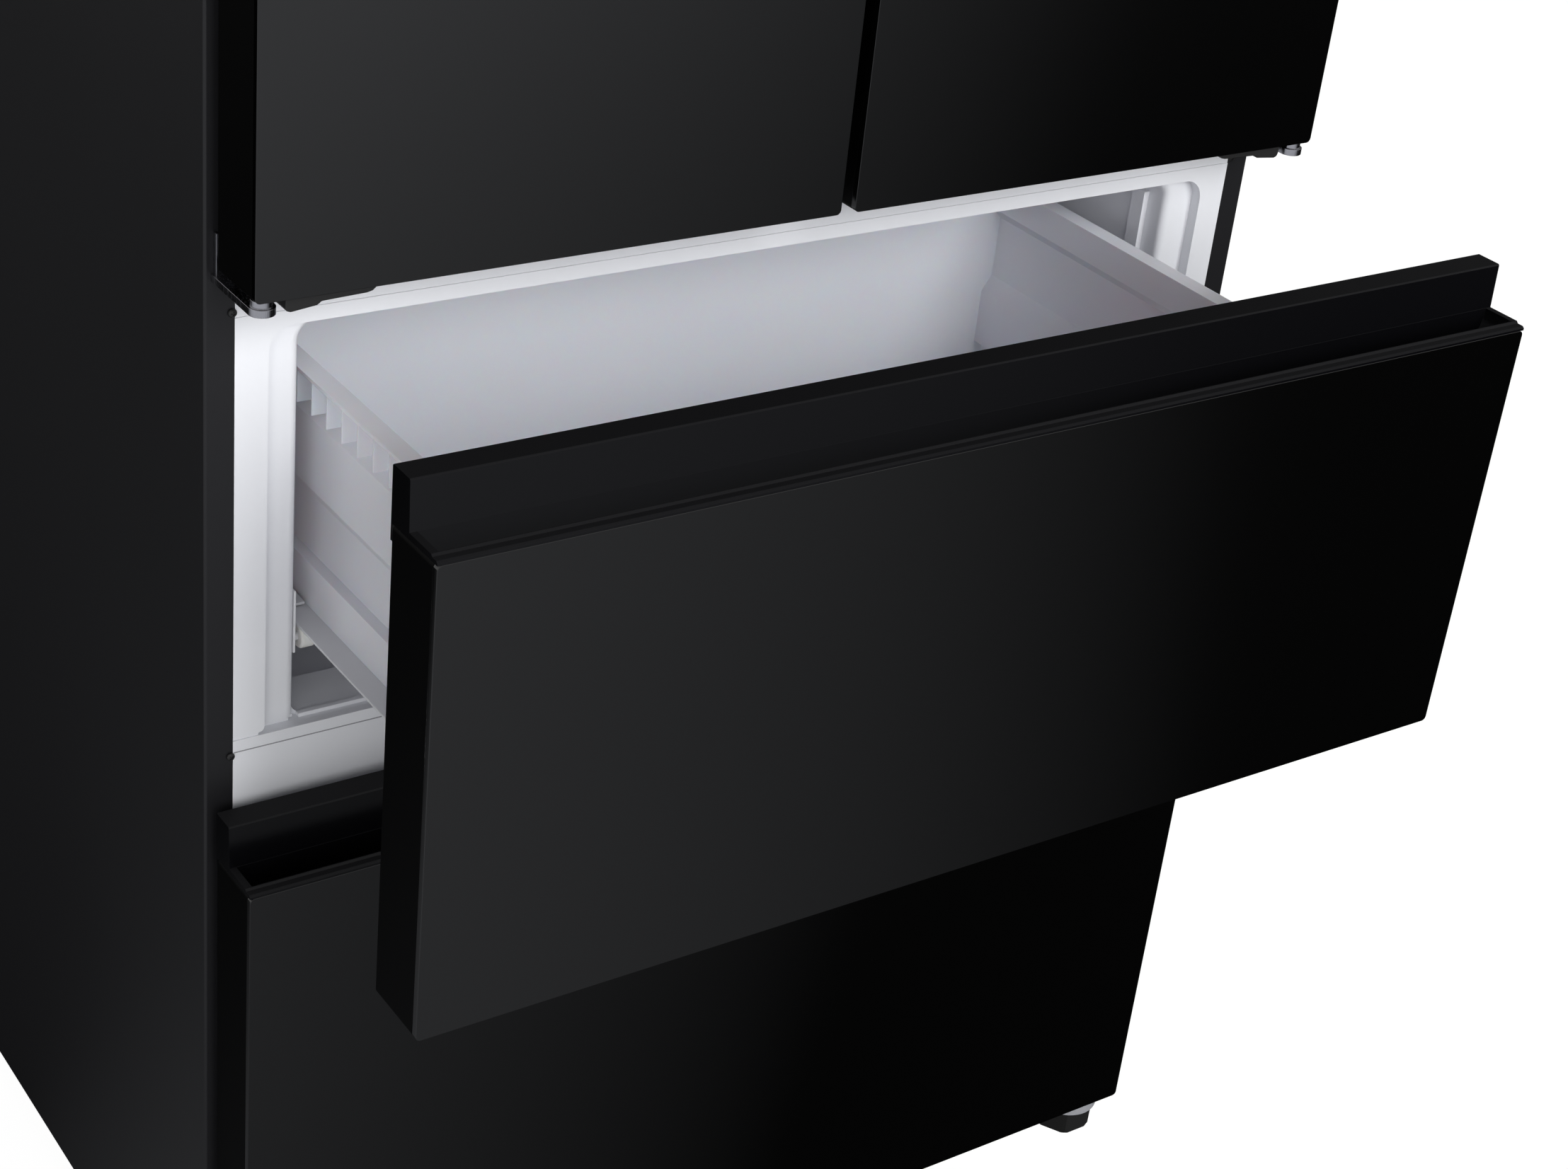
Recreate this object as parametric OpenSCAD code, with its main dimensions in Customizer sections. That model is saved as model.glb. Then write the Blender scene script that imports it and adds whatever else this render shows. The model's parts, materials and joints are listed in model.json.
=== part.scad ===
// Refrigerator with two upper doors and two freezer drawers, the upper drawer drawn out.
// Each sub-part is drawn with the cabinet's front face at y = 0 and the floor at z = 0;
// placed() then puts the middle of the footprint at the origin.

/* [Cabinet] */
// Width of the steel case
cab_w = 704; // [660:1:740]
// Depth of the case behind its front face
cab_d = 590; // [580:1:620]
// Height of the case without its feet
cab_h = 1732; // [1650:1:1800]
// Clear height under the case
floor_gap = 28; // [26:0.5:34]
// Width of the lip that the case turns in round the front
lip_w = 16.4; // [14:0.2:18]
// Sheet steel of the case, base and back
sheet_t = 1; // [0.6:0.1:1.4]
// Side wall from the case's outside to the liner's inside
side_wall = 56; // [54:0.5:62]
// Top wall from the case's outside to the liner's inside
top_wall = 60; // [54:1:75]
// Rear wall behind the fridge liner
rear_wall = 70; // [60:1:80]
// Plastic sheet of the liners
liner_t = 1.5; // [1:0.1:2]

/* [Fronts] */
// Height of the lower drawer's glass
lower_glass_h = 399; // [370:1:420]
// Height of the upper drawer's glass
upper_glass_h = 263.5; // [250:0.5:290]
// Thickness of every front, glass to inner panel
front_t = 44.5; // [42:0.5:50]
// Gap between a front's inner panel and the case
stand_off = 7.9; // [7.5:0.1:9]
// Glass thickness
glass_t = 4; // [3:0.5:4]
// How far each front stops short of the case's side
side_inset = 3.2; // [2.5:0.1:4]
// Gap between the two doors
centre_gap = 9.3; // [8:0.1:11]
// Height of a grip plate above its glass
grip_rise = 30; // [24:0.5:34]
// Gap above the lower drawer's grip plate
drawer_seam = 9.5; // [8:0.5:14]
// Gap above the upper drawer's grip plate
door_seam = 16; // [14:0.5:20]
// How far the lower drawer's glass starts above the case's bottom
front_raise = 1; // [0.5:0.5:3]
// Corner radius of the fronts
front_r = 3; // [1:0.5:4]

/* [Grip trim] */
// Depth of the grip plate from front to back
plate_d = 17; // [14:0.5:19]
// Depth of the finger pocket below the glass's top edge
pocket_depth = 19; // [15:0.5:22]
// Solid length at each end of the finger pocket
pocket_end = 4; // [3:0.5:12]

/* [Freezer drawers] */
// How far the upper drawer stands open
drawer_out = 190; // [0:1:270]
// Length of a bin, front to back
bin_len = 325; // [300:1:330]
// Wall of a bin
bin_wall = 2.2; // [1.8:0.1:3]
// Height of the liner's floor below a bin
bin_lift = 37; // [33:1:42]
// Radius of the fixed front rollers
roller_r = 7.3; // [6.5:0.1:8]
// Radius of the wheels at the rails' rear ends
wheel_r = 7; // [6:0.1:7.2]
// Thickness of the rail steel
rail_t = 1.6; // [1.2:0.1:2]

/* [Fridge] */
// Thickness of the glass shelves
shelf_t = 4; // [3:0.5:6]
// Height of the shelf over the crispers above the fridge floor
crisper_h = 205; // [180:1:230]
// Spacing of the shelves above that one
shelf_step = 215; // [180:1:225]
// Reach of the door bins behind the case's front face
door_bin_reach = 95; // [70:1:96]
// Height of a door bin
door_bin_h = 105; // [80:1:130]

/* [Hardware] */
// Radius of the door hinge pins
pin_r = 4; // [3:0.1:4.4]
// Hinge pin to the door's side
pin_side = 7.2; // [6.5:0.1:9]
// Hinge pin to the door's glass face
pin_front = 8.4; // [8.4:0.1:10]
// Thickness of the hinge plates
hinge_t = 4; // [3:0.5:4.5]
// Width across the flats of the levelling feet
foot_af = 38; // [34:1:44]
// Radius of the feet's studs
stud_r = 5; // [4:0.5:6]
// Radius of the rear transport wheels
castor_r = 12.5; // [11:0.5:12.5]
// Radial play of everything that turns on a pin
running_gap = 0.06; // [0.02:0.01:0.1]
// Play between pieces that slide past each other
slide_gap = 0.3; // [0.3:0.05:0.5]

/* [Hidden] */
$fn = 48;

// Heights, from the floor up
case_z0 = floor_gap;
case_z1 = case_z0 + cab_h;
lower_z0 = case_z0 + front_raise;
lower_z1 = lower_z0 + lower_glass_h;
upper_z0 = lower_z1 + grip_rise + drawer_seam;
upper_z1 = upper_z0 + upper_glass_h;
door_z0 = upper_z1 + grip_rise + door_seam;
hinge_clear = 3;
door_z1 = case_z1 - hinge_clear;
base_wall = 60;
lower_in0 = case_z0 + base_wall;
upper_in0 = upper_z0 + 28;
fridge_in0 = door_z0 + 28;
fridge_in1 = case_z1 - top_wall;
over_glass = 2.3;
lower_in1 = lower_z1 + over_glass;
upper_in1 = upper_z1 + over_glass;
flange_h = 13;
sill_h = 7.4;

// Widths and depths
lip_x = cab_w / 2 - lip_w;
liner_x = cab_w / 2 - side_wall;
step_x = (lip_x + liner_x) / 2 + 1.2;
step_d = 7.6;
step_rise = 4.7;
frame_depth = step_d + liner_t;
step_r = 14;
tub_r = 10;
roll_r = 5;
foot_gap = 1.8;
foot_r = 3.4;
floor_y = 48;
floor_drop = 12;
front_x = cab_w / 2 - side_inset;
centre_x = centre_gap / 2;
back_y = -stand_off;
glass_y = back_y - front_t;
glass_back = glass_y + glass_t;
panel_t = 1.5;
bin_y0 = 5;
body_back = back_y - panel_t;
back_set = 6;
back_in = cab_d - back_set - sheet_t;
fridge_d = cab_d - rear_wall;
upper_d = fridge_d - 30;
lower_d = bin_y0 + bin_len + 30;
bay_y = lower_d + 55;
bay_h = (upper_in0 - case_z0) / 2;
bay_z1 = case_z0 + bay_h;
bay_d = back_in - bay_y;
mid_y = (cab_d + glass_y - drawer_out) / 2;

// Gasket
seal_w = 12;
seal_gap = 1.5;

// Freezer bins and runners, from a bin's underside at bin_z
bin_front_gap = 3;
rim_drop = 41;
rim_x = liner_x - 15;
bin_x = rim_x - 4;
inset_x = rim_x - 10;
rail_x = bin_x - 1.5;
low_x = rail_x - 0.9;
waist_x = bin_x - 7;
seat_h = 18;
rim_h = 27;
rib_pitch = 18;
rail_out = liner_x - 5;
roller_y = 19;
wheel_y = bin_y0 + bin_len - 12;
axle_r = 2.5;
track_y0 = 32;
track_y1 = wheel_y + wheel_r + 10;
track_in = bin_x + 2;
rib_in = liner_x - 4;
rib_y = [24, 150, 276];

// Door hinges and bins
pin_x = front_x - pin_side;
pin_y = glass_y + pin_front;
arm_z1 = door_z0 - 4.5;
pin_len = 12;
dyke_in = 44;
dyke_t = 14;
dyke_reach = 20;
flap_w = 52;
flap_t = 20;
flap_x = -22;
flap_y = 4;
flap_z0 = fridge_in0 + 12;
flap_z1 = fridge_in1 - 22;
flap_pin_r = 3;

// Fridge shelves
shelf_y0 = 120;
shelf_y1 = fridge_d - 22;
shelf_x = liner_x - 1;
strip_d = 14;
crisper_z = fridge_in0 + crisper_h;
shelf_z = [for (i = [0:2]) crisper_z + i * shelf_step];

// Levelling feet and castors
foot_x = cab_w / 2 - 30;
foot_y = -26;
boss_r = 24;
boss_z0 = 19.5;
castor_x = cab_w / 2 - 45;
castor_y = cab_d - 32;
castor_w = 18;
base_t = 1.5;

module placed() translate([0, -mid_y, 0]) children();
module both() {
    children();
    mirror([1, 0, 0]) children();
}
// A flat outline in X and Z, drawn out along Y
module prism_y(y0, y1) translate([0, y1, 0]) rotate([90, 0, 0]) linear_extrude(y1 - y0) children();
// A flat outline in Y and Z, drawn out along X
module prism_x(x0, x1) translate([x0, 0, 0]) rotate([90, 0, 90]) linear_extrude(x1 - x0) children();
module rod_x(x0, x1, y, z, r) translate([x0, y, z]) rotate([0, 90, 0]) cylinder(h = x1 - x0, r = r);
module rod_z(x, y, z0, z1, r) translate([x, y, z0]) cylinder(h = z1 - z0, r = r);
module rod_y(x, y0, y1, z, r) translate([x, y1, z]) rotate([90, 0, 0]) cylinder(h = y1 - y0, r = r);
module block(x0, x1, y0, y1, z0, z1) translate([x0, y0, z0]) cube([x1 - x0, y1 - y0, z1 - z0]);
// Rectangle with one radius for its top corners and one for its bottom corners
module rrect(x0, x1, y0, y1, top_r, low_r) {
    translate([x0, y0 + low_r]) square([x1 - x0, y1 - y0 - top_r - low_r]);
    if (low_r > 0) {
        translate([x0 + low_r, y0]) square([x1 - x0 - 2 * low_r, low_r + 0.01]);
        for (x = [x0 + low_r, x1 - low_r]) translate([x, y0 + low_r]) circle(low_r);
    }
    if (top_r > 0) {
        translate([x0 + top_r, y1 - top_r - 0.01]) square([x1 - x0 - 2 * top_r, top_r + 0.01]);
        for (x = [x0 + top_r, x1 - top_r]) translate([x, y1 - top_r]) circle(top_r);
    }
}

case_r = 5;
module case_inside(z0, z1, y0, y1) translate([0, 0, z0]) linear_extrude(z1 - z0)
    rrect(-cab_w / 2 + sheet_t, cab_w / 2 - sheet_t, y0, y1, 0, case_r - sheet_t);
// Steel case: two sides and a top from one sheet, with a lip turned in round the front
module outer_case() color([0.09, 0.09, 0.1]) placed() difference() {
    translate([0, 0, case_z0]) linear_extrude(cab_h)
        rrect(-cab_w / 2, cab_w / 2, 0, cab_d, 2, case_r);
    case_inside(case_z0 - 1, case_z1 - sheet_t, sheet_t, cab_d + 1);
    block(-lip_x, lip_x, -1, sheet_t + 1, case_z0 - 1, case_z1 - lip_w);
}

// The foam between the case and the liners, with the compressor bay left free
module insulation() color([0.93, 0.86, 0.62]) placed() difference() {
    case_inside(case_z0 + base_t, case_z1 - sheet_t, liner_t, back_in);
    for (t = [[fridge_in0, fridge_in1, fridge_d, 0], [upper_in0, upper_in1, upper_d, floor_drop],
        [lower_in0, lower_in1, lower_d, floor_drop]]) {
        tub_hull(t[0], t[1], t[2], t[3]);
        step_hull(t[0], t[1]);
    }
    for (z = [lower_in1, upper_in1]) block(-step_x - liner_t - 0.5, step_x + liner_t + 0.5, 0,
        frame_depth, z + flange_h - 9, z + flange_h + 50);
    block(-cab_w / 2, cab_w / 2, bay_y, cab_d, case_z0, bay_z1);
}
// Outsides of a liner's recess and tub, with the thicker parts that its rounded edges need
module step_hull(z0, z1) prism_y(0, frame_depth) {
    rrect(-step_x - liner_t, step_x + liner_t, z0 - liner_t, z1 + step_rise + liner_t, step_r + liner_t, 0);
    rrect(-step_x - foot_r - liner_t, step_x + foot_r + liner_t, z0 - liner_t, z0 + 8, 0, 0);
}
module tub_hull(z0, z1, d, drop) {
    w = liner_x + liner_t;
    c = liner_x + roll_r + liner_t;
    prism_y(step_d, d + liner_t) rrect(-w, w, z0 - liner_t, z1 + liner_t, tub_r + liner_t, 8 + liner_t);
    prism_y(step_d, step_d + roll_r + liner_t)
        rrect(-c, c, z0 - liner_t, z1 + roll_r + liner_t, tub_r + roll_r + liner_t, 0);
    if (drop > 0) prism_y(floor_y - liner_t, d + liner_t)
        rrect(-w, w, z0 - drop - liner_t, z0 + 30, 0, 8 + liner_t);
}

// Ribbed steel back above the compressor bay
module back_panel() color([0.75, 0.76, 0.78]) placed() union() {
    block(-cab_w / 2 + sheet_t, cab_w / 2 - sheet_t, back_in, back_in + sheet_t,
        bay_z1, case_z1 - sheet_t);
    for (i = [-2:2]) prism_y(back_in, cab_d - 2)
        rrect(i * cab_w / 6 - 14, i * cab_w / 6 + 14, bay_z1 + 70, case_z1 - 90, 13, 13);
}

// Liner: face plate, a recess round the opening, and the tub with its rolled front edge
module liner_shell(z0, z1, d, drop, low, high) difference() {
    union() {
        prism_y(0, liner_t) translate([-lip_x, low]) square([2 * lip_x, high - low]);
        step_hull(z0, z1);
        tub_hull(z0, z1, d, drop);
    }
    prism_y(-1, step_d) rrect(-step_x, step_x, z0, z1 + step_rise, step_r, 0);
    prism_y(-1, step_d + roll_r) rrect(-liner_x, liner_x, z0, z1, tub_r, 0);
    prism_y(step_d, d) rrect(-liner_x, liner_x, z0, z1, tub_r, 8);
    if (drop > 0) prism_y(floor_y, d) rrect(-liner_x, liner_x, z0 - drop, z0 + 30, 0, 8);
    both() {
        prism_y(-1, step_d) flange_foot(step_x, z0);
        prism_y(-1, step_d + roll_r / 2) flange_foot(liner_x, z0);
        block(step_x, lip_x + 1, -1, liner_t / 2, z0, z0 + foot_gap);
        translate([liner_x, step_d, z0 + foot_gap]) linear_extrude(z1 - tub_r - z0 - foot_gap)
            rounded_off(roll_r, 1);
        intersection() {
            translate([liner_x - tub_r, 0, z1 - tub_r]) rotate([-90, 0, 0]) rotate_extrude()
                translate([tub_r, step_d]) rounded_off(roll_r, 1);
            block(liner_x - tub_r, liner_x + 2 * roll_r, 0, 2 * step_d + roll_r, z1 - tub_r, z1 + 2 * roll_r);
        }
    }
    prism_x(-liner_x + tub_r, liner_x - tub_r) translate([step_d, z1]) rounded_off(roll_r, 1);
}
// What a rounded edge takes off a square corner at the origin, with what lies below it
module rounded_off(r, below) polygon([[-1, -below], [r, -below], [r, 0], [0.62 * r, 0.08 * r],
    [0.29 * r, 0.29 * r], [0.08 * r, 0.62 * r], [0, r], [-1, r]]);
// Rounded lower end of a flange whose edge is at x, just above the sill
module flange_foot(x, z0) translate([x, z0 + foot_gap]) rounded_off(foot_r, foot_gap);
// Ridge along the front of a liner's floor
module sill_ridge(z0) prism_x(-liner_x + 3, liner_x - 3) polygon([[step_d + 0.4, z0 - 0.5],
    [step_d + 0.9, z0 + 2], [step_d + 3.9, z0 + 2], [step_d + 4.9, z0 - 0.5]]);
// Upright ribs on a freezer liner's side walls, which keep the bin's rim in line
module side_ribs(z0, z1) both() for (y = rib_y) prism_x(rib_in, liner_x + 0.5) polygon([
    [y, rail_z(z0) + 30], [y + 11, rail_z(z0) + 30], [y + 11, z1 - tub_r], [y, z1 - tub_r]]);

module fridge_liner() color([0.95, 0.95, 0.95]) placed() union() {
    liner_shell(fridge_in0, fridge_in1, fridge_d, 0, fridge_in0 - flange_h, case_z1 - lip_w);
    for (z = shelf_z) both() block(shelf_x - 6, liner_x + 0.5, shelf_y0 + strip_d + 0.5,
        shelf_y1 + 4 - strip_d - 0.5, z - 8, z);
    difference() {
        block(-34, 34, step_d + 2, 62, fridge_in1 - 14, fridge_in1 + 0.5);
        translate([flap_x, 22, fridge_in1 - 15]) cylinder(h = 9, r = 9);
        block(flap_x - 5, flap_x + 5, 0, 22, fridge_in1 - 15, fridge_in1 - 6);
    }
}
module upper_freezer_liner() color([0.95, 0.95, 0.96]) placed() union() {
    liner_shell(upper_in0, upper_in1, upper_d, floor_drop, upper_in0 - sill_h, upper_in1 + flange_h);
    side_ribs(upper_in0, upper_in1);
    sill_ridge(upper_in0);
}
module lower_freezer_liner() color([0.95, 0.95, 0.96]) placed() union() {
    liner_shell(lower_in0, lower_in1, lower_d, floor_drop, case_z0 + base_t, lower_in1 + flange_h);
    side_ribs(lower_in0, lower_in1);
    sill_ridge(lower_in0);
}

// Channel-shaped covers over the cross rails between the three openings
module rail_cover(z0, z1) difference() {
    block(-lip_x, lip_x, 0, frame_depth, z0, z1);
    block(-lip_x - 1, lip_x + 1, liner_t, frame_depth + 1, z0 + liner_t, z1 - liner_t);
    both() block(step_x + liner_t + 0.5, lip_x + 1, liner_t, frame_depth + 1, z0 - 1, z1 + 1);
}
module rail_covers() color([0.94, 0.94, 0.95]) placed() {
    rail_cover(lower_in1 + flange_h, upper_in0 - sill_h);
    rail_cover(upper_in1 + flange_h, fridge_in0 - flange_h);
}

// Galvanised base, the compressor's housing on it, and the ears that hold the rear castors
module base_frame() color([0.55, 0.56, 0.58]) placed() difference() {
    union() {
        case_inside(case_z0, case_z0 + base_t, liner_t, back_in);
        difference() {
            block(-cab_w / 2 + sheet_t, cab_w / 2 - sheet_t, bay_y, back_in, case_z0, bay_z1);
            block(-cab_w / 2 + sheet_t + base_t, cab_w / 2 - sheet_t - base_t, bay_y + base_t,
                back_in + 1, case_z0 + base_t, bay_z1 - base_t);
        }
        both() for (s = [-1, 1]) prism_x(castor_x + s * (castor_w / 2 + 2.5) - 1.5,
            castor_x + s * (castor_w / 2 + 2.5) + 1.5) ear();
        both() rod_x(castor_x - castor_w / 2 - 5, castor_x + castor_w / 2 + 5, castor_y, castor_r, 4);
    }
    for (x = [-4:4]) rod_z(x * cab_w / 10, bay_y + 18, case_z0 - 1, case_z0 + base_t + 1, cab_w / 100);
}
module ear() {
    translate([castor_y, castor_r]) circle(8);
    translate([castor_y - 8, castor_r]) square([16, case_z0 - castor_r + 0.5]);
}

// Plated brackets under the front corners, with the bosses that take the feet
module foot_brackets() color([0.72, 0.73, 0.76]) placed() both() difference() {
    union() {
        translate([0, 0, case_z0 - 2.8]) linear_extrude(2.5) union() {
            translate([foot_x, foot_y]) circle(boss_r);
            translate([foot_x - boss_r, foot_y]) square([2 * boss_r, 66 - foot_y]);
        }
        translate([foot_x, foot_y, boss_z0]) cylinder(h = case_z0 - boss_z0 - 0.3, r = boss_r);
        block(foot_x - boss_r, foot_x + boss_r, 6, 66, case_z0 - 2.8, case_z0);
    }
    translate([foot_x, foot_y, boss_z0 - 1]) cylinder(h = case_z0 - boss_z0 - 1, r = stud_r + running_gap);
}

// Hinge between each door and the case, at the cross rail
module middle_hinges() color([0.5, 0.5, 0.53]) placed() both() union() {
    translate([0, 0, arm_z1 - hinge_t]) linear_extrude(hinge_t) union() {
        translate([pin_x, pin_y]) circle(7);
        translate([pin_x - 7, pin_y]) square([14, -pin_y]);
    }
    block(pin_x - 7, pin_x + 5.6, -hinge_t + 0.5, 0, arm_z1 - hinge_t, arm_z1 + 22);
    rod_y(pin_x - 2, -hinge_t - 1, -1, arm_z1 + 16, 3);
    translate([pin_x, pin_y, arm_z1]) cylinder(h = 3.6, r = 5.6);
    translate([pin_x, pin_y, arm_z1]) cylinder(h = door_z0 - arm_z1 + pin_len, r = pin_r);
}
module top_hinges() color([0.5, 0.5, 0.53]) placed() both() union() {
    translate([0, 0, case_z1]) linear_extrude(hinge_t) union() {
        translate([pin_x, pin_y]) circle(6);
        translate([pin_x - 6, pin_y]) square([12, 90 - pin_y]);
        translate([pin_x - 60, 40]) square([66, 50]);
    }
    translate([pin_x, pin_y, door_z1 - pin_len]) cylinder(h = case_z1 - door_z1 + pin_len + 1, r = pin_r);
    for (p = [[-48, 54], [-48, 76], [-10, 66]]) translate([pin_x + p[0], p[1], case_z1])
        cylinder(h = hinge_t + 4, r = 6);
}
// Moulded hoods over the top hinges
hood_x0 = pin_x - 64;
hood_x1 = cab_w / 2 - 1;
hood_y0 = glass_y + 0.6;
module hinge_covers() color([0.12, 0.12, 0.13]) placed() both() difference() {
    translate([0, 0, case_z1]) linear_extrude(24) rrect(hood_x0, hood_x1, hood_y0, 98, 10, 10);
    translate([0, 0, case_z1 - 1]) linear_extrude(23)
        rrect(hood_x0 + 1.8, hood_x1 - 1.2, hood_y0 + 1.8, 96, 8, 8);
}

// Shelves: toughened glass in moulded front and rear strips
module glass_shelves() color([0.75, 0.85, 0.85, 0.4]) placed()
    for (z = shelf_z) block(-shelf_x, shelf_x, shelf_y0 + 4, shelf_y1, z, z + shelf_t);
module shelf_trims() color([0.9, 0.9, 0.92]) placed() for (z = shelf_z) {
    shelf_strip(shelf_y0, 1, z);
    shelf_strip(shelf_y1 + 4, -1, z);
}
module shelf_strip(y, way, z) prism_x(-shelf_x, shelf_x) polygon([
    [y, z - 6], [y, z + shelf_t + 4], [y + way * 3, z + shelf_t + 4], [y + way * 4, z + shelf_t],
    [y + way * 4, z], [y + way * strip_d, z], [y + way * strip_d, z - 2], [y + way * 4, z - 6]]);

// Two clear crisper drawers under the lowest shelf
crisper_gap = 14;
crisper_top = crisper_z - 12;
module crisper_drawers() color([0.85, 0.9, 0.92, 0.6]) placed() both() union() {
    crisper_box(crisper_gap / 2, liner_x - 6, shelf_y0 - 8, shelf_y1 - 30, fridge_in0, crisper_top);
}
module crisper_box(x0, x1, y0, y1, z0, z1) difference() {
    union() {
        translate([0, 0, z0]) linear_extrude(z1 - z0 - 8) rrect(x0 + 8, x1 - 8, y0 + 4, y1, 18, 12);
        translate([0, 0, z1 - 10]) linear_extrude(10) rrect(x0, x1, y0 + 2, y1 + 4, 18, 12);
        prism_y(y0, y0 + 6) rrect(x0, x1, z0 + 6, z1 + 4, 6, 12);
    }
    translate([0, 0, z0 + 3]) linear_extrude(z1) rrect(x0 + 11, x1 - 11, y0 + 8, y1 - 3, 15, 9);
}

// Air duct on the fridge's rear wall, with outlets at every shelf
module fridge_air_duct() color([0.9, 0.9, 0.92]) placed() difference() {
    prism_y(fridge_d - 16, fridge_d) rrect(-90, 90, fridge_in0 + 60, fridge_in1 - 20, 30, 10);
    for (z = shelf_z, i = [-2:2]) prism_y(fridge_d - 17, fridge_d - 3)
        rrect(i * 32 - 10, i * 32 + 10, z + 30, z + 37, 3.4, 3.4);
}

// Fixed steel channels for the rear wheels, with the bracket that carries the front roller
module runner(zr) {
    zc = roller_z(zr);
    difference() {
        block(track_in, liner_x, track_y0, track_y1, zc - wheel_r - slide_gap - rail_t, zr + 3.1);
        block(track_in - 1, liner_x - rail_t, track_y0 - 1, track_y1 - 4,
            zc - wheel_r - slide_gap, zr + 1.5);
    }
    block(liner_x - 1.2, liner_x, 10, track_y0 + 2, zr - 14, zr + 24.5);
    rod_x(rail_x + 6, liner_x - 0.5, roller_y, zc, axle_r);
}
function roller_z(zr) = zr - rail_t - slide_gap - roller_r;
function bin_z(z0) = z0 + bin_lift;
function rail_z(z0) = bin_z(z0) + seat_h;
module freezer_runners() color([0.86, 0.87, 0.88]) placed() both() {
    runner(rail_z(upper_in0));
    runner(rail_z(lower_in0));
}

// Finned coil: plates on straight tube passes joined by return bends
module finned_coil(x0, x1, y0, y1, z0, z1, pitch, tubes, r) {
    for (x = [x0:pitch:x1]) block(x, x + 0.8, y0, y1, z0, z1);
    step = (z1 - z0) / tubes;
    yc = (y0 + y1) / 2;
    for (i = [0:tubes - 1]) rod_x(x0 - 14, x1 + 14, yc, z0 + step * (i + 0.5), r);
    for (i = [0:tubes - 2]) translate([i % 2 == 0 ? x1 + 14 : x0 - 14, yc, z0 + step * (i + 1)])
        rotate([90, 0, 0]) intersection() {
            rotate_extrude() translate([step / 2, 0]) circle(r);
            translate([i % 2 == 0 ? 0 : -step, -step, -r - 1]) cube([step, 2 * step, 2 * r + 2]);
        }
}
evap_y0 = upper_d - 66;
evap_x = 0.78 * liner_x;
evap_h = 0.48 * (upper_in1 - upper_in0);
module evaporator() color([0.8, 0.82, 0.84]) placed()
    finned_coil(-evap_x, evap_x, evap_y0, upper_d, upper_in0 + 6, upper_in0 + 6 + evap_h,
        evap_x / 11.5, 6, 4);

// Moulded cover in front of the coil, with the fan's throat, outlets and motor post
fan_z = upper_in1 - 62;
fan_r = 46;
cover_y0 = evap_y0 - 26;
cover_y1 = cover_y0 + 10;
module evaporator_cover() color([0.93, 0.93, 0.94]) placed() union() {
    difference() {
        prism_y(cover_y0, cover_y1)
            rrect(-liner_x, liner_x, upper_in0 - floor_drop, upper_in1, tub_r, 8);
        rod_y(0, cover_y0 + 3, cover_y1 + 1, fan_z, fan_r + 3);
        for (i = [-3:3]) prism_y(cover_y0 - 1, cover_y0 + 4)
            rrect(-chord(i * 11), chord(i * 11), fan_z + i * 11 - 2.5, fan_z + i * 11 + 2.5, 2.4, 2.4);
        for (x = [-0.68 * liner_x, 0.68 * liner_x], i = [0:3]) prism_y(cover_y0 - 1, cover_y1 + 1)
            rrect(x - 45, x + 45, upper_in1 - 90 + i * 14, upper_in1 - 84 + i * 14, 2.9, 2.9);
    }
    rod_y(0, cover_y0 + 2, cover_y1 + 26, fan_z, 4);
}
function chord(h) = sqrt(fan_r * fan_r - h * h) - 6;

// Axial fans: blades pitched round a bored hub, drawn along +Z
module rotor(r, w, bore) difference() {
    union() {
        cylinder(h = w, r = r * 0.32);
        intersection() {
            cylinder(h = w, r = r);
            for (i = [0:4]) rotate(i * 72) translate([r * 0.28, 0, w / 2]) rotate([38, 0, 0])
                translate([0, -1, -w]) cube([r, 2, 2 * w]);
        }
    }
    translate([0, 0, -1]) cylinder(h = w + 2, r = bore + running_gap);
}
module evaporator_fan() color([0.2, 0.2, 0.22]) placed()
    translate([0, cover_y1 + 22, fan_z]) rotate([90, 0, 0]) rotor(fan_r - 4, 16, 4);

// Hermetic compressor on its rubber-footed plate
comp_x = 0.27 * cab_w;
comp_y = (bay_y + back_in) / 2;
comp_z = case_z0 + base_t;
comp_r = 0.38 * bay_d;
comp_h = 0.58 * bay_h;
module compressor() color([0.13, 0.13, 0.14]) placed() translate([comp_x, comp_y, comp_z]) union() {
    r = comp_r;
    h = comp_h;
    translate([0, 0, 14]) rotate_extrude() polygon([[0, 0], [0.81 * r, 0], [0.96 * r, 0.07 * h],
        [r, 0.1 * h], [r, 0.55 * h], [r + 2, 0.55 * h], [r + 2, 0.6 * h], [r, 0.6 * h],
        [0.94 * r, 0.77 * h], [0.75 * r, 0.9 * h], [0.44 * r, 0.98 * h], [0, h]]);
    translate([0, 0, 12]) linear_extrude(4) rrect(-1.4 * r, 1.4 * r, -0.94 * r, 0.94 * r, 12, 12);
    for (x = [-1.2 * r, 1.2 * r], y = [-0.72 * r, 0.72 * r]) translate([x, y, 0]) cylinder(h = 12.5, r = 10);
    block(0.9 * r, 1.44 * r, -0.34 * r, 0.34 * r, 0.32 * h, 0.68 * h);
    rod_z(-0.62 * r, 0.47 * r, 0.8 * h, 1.24 * h, 4);
    rod_z(-0.47 * r, -0.53 * r, 0.8 * h, 1.24 * h, 3);
}

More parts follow.
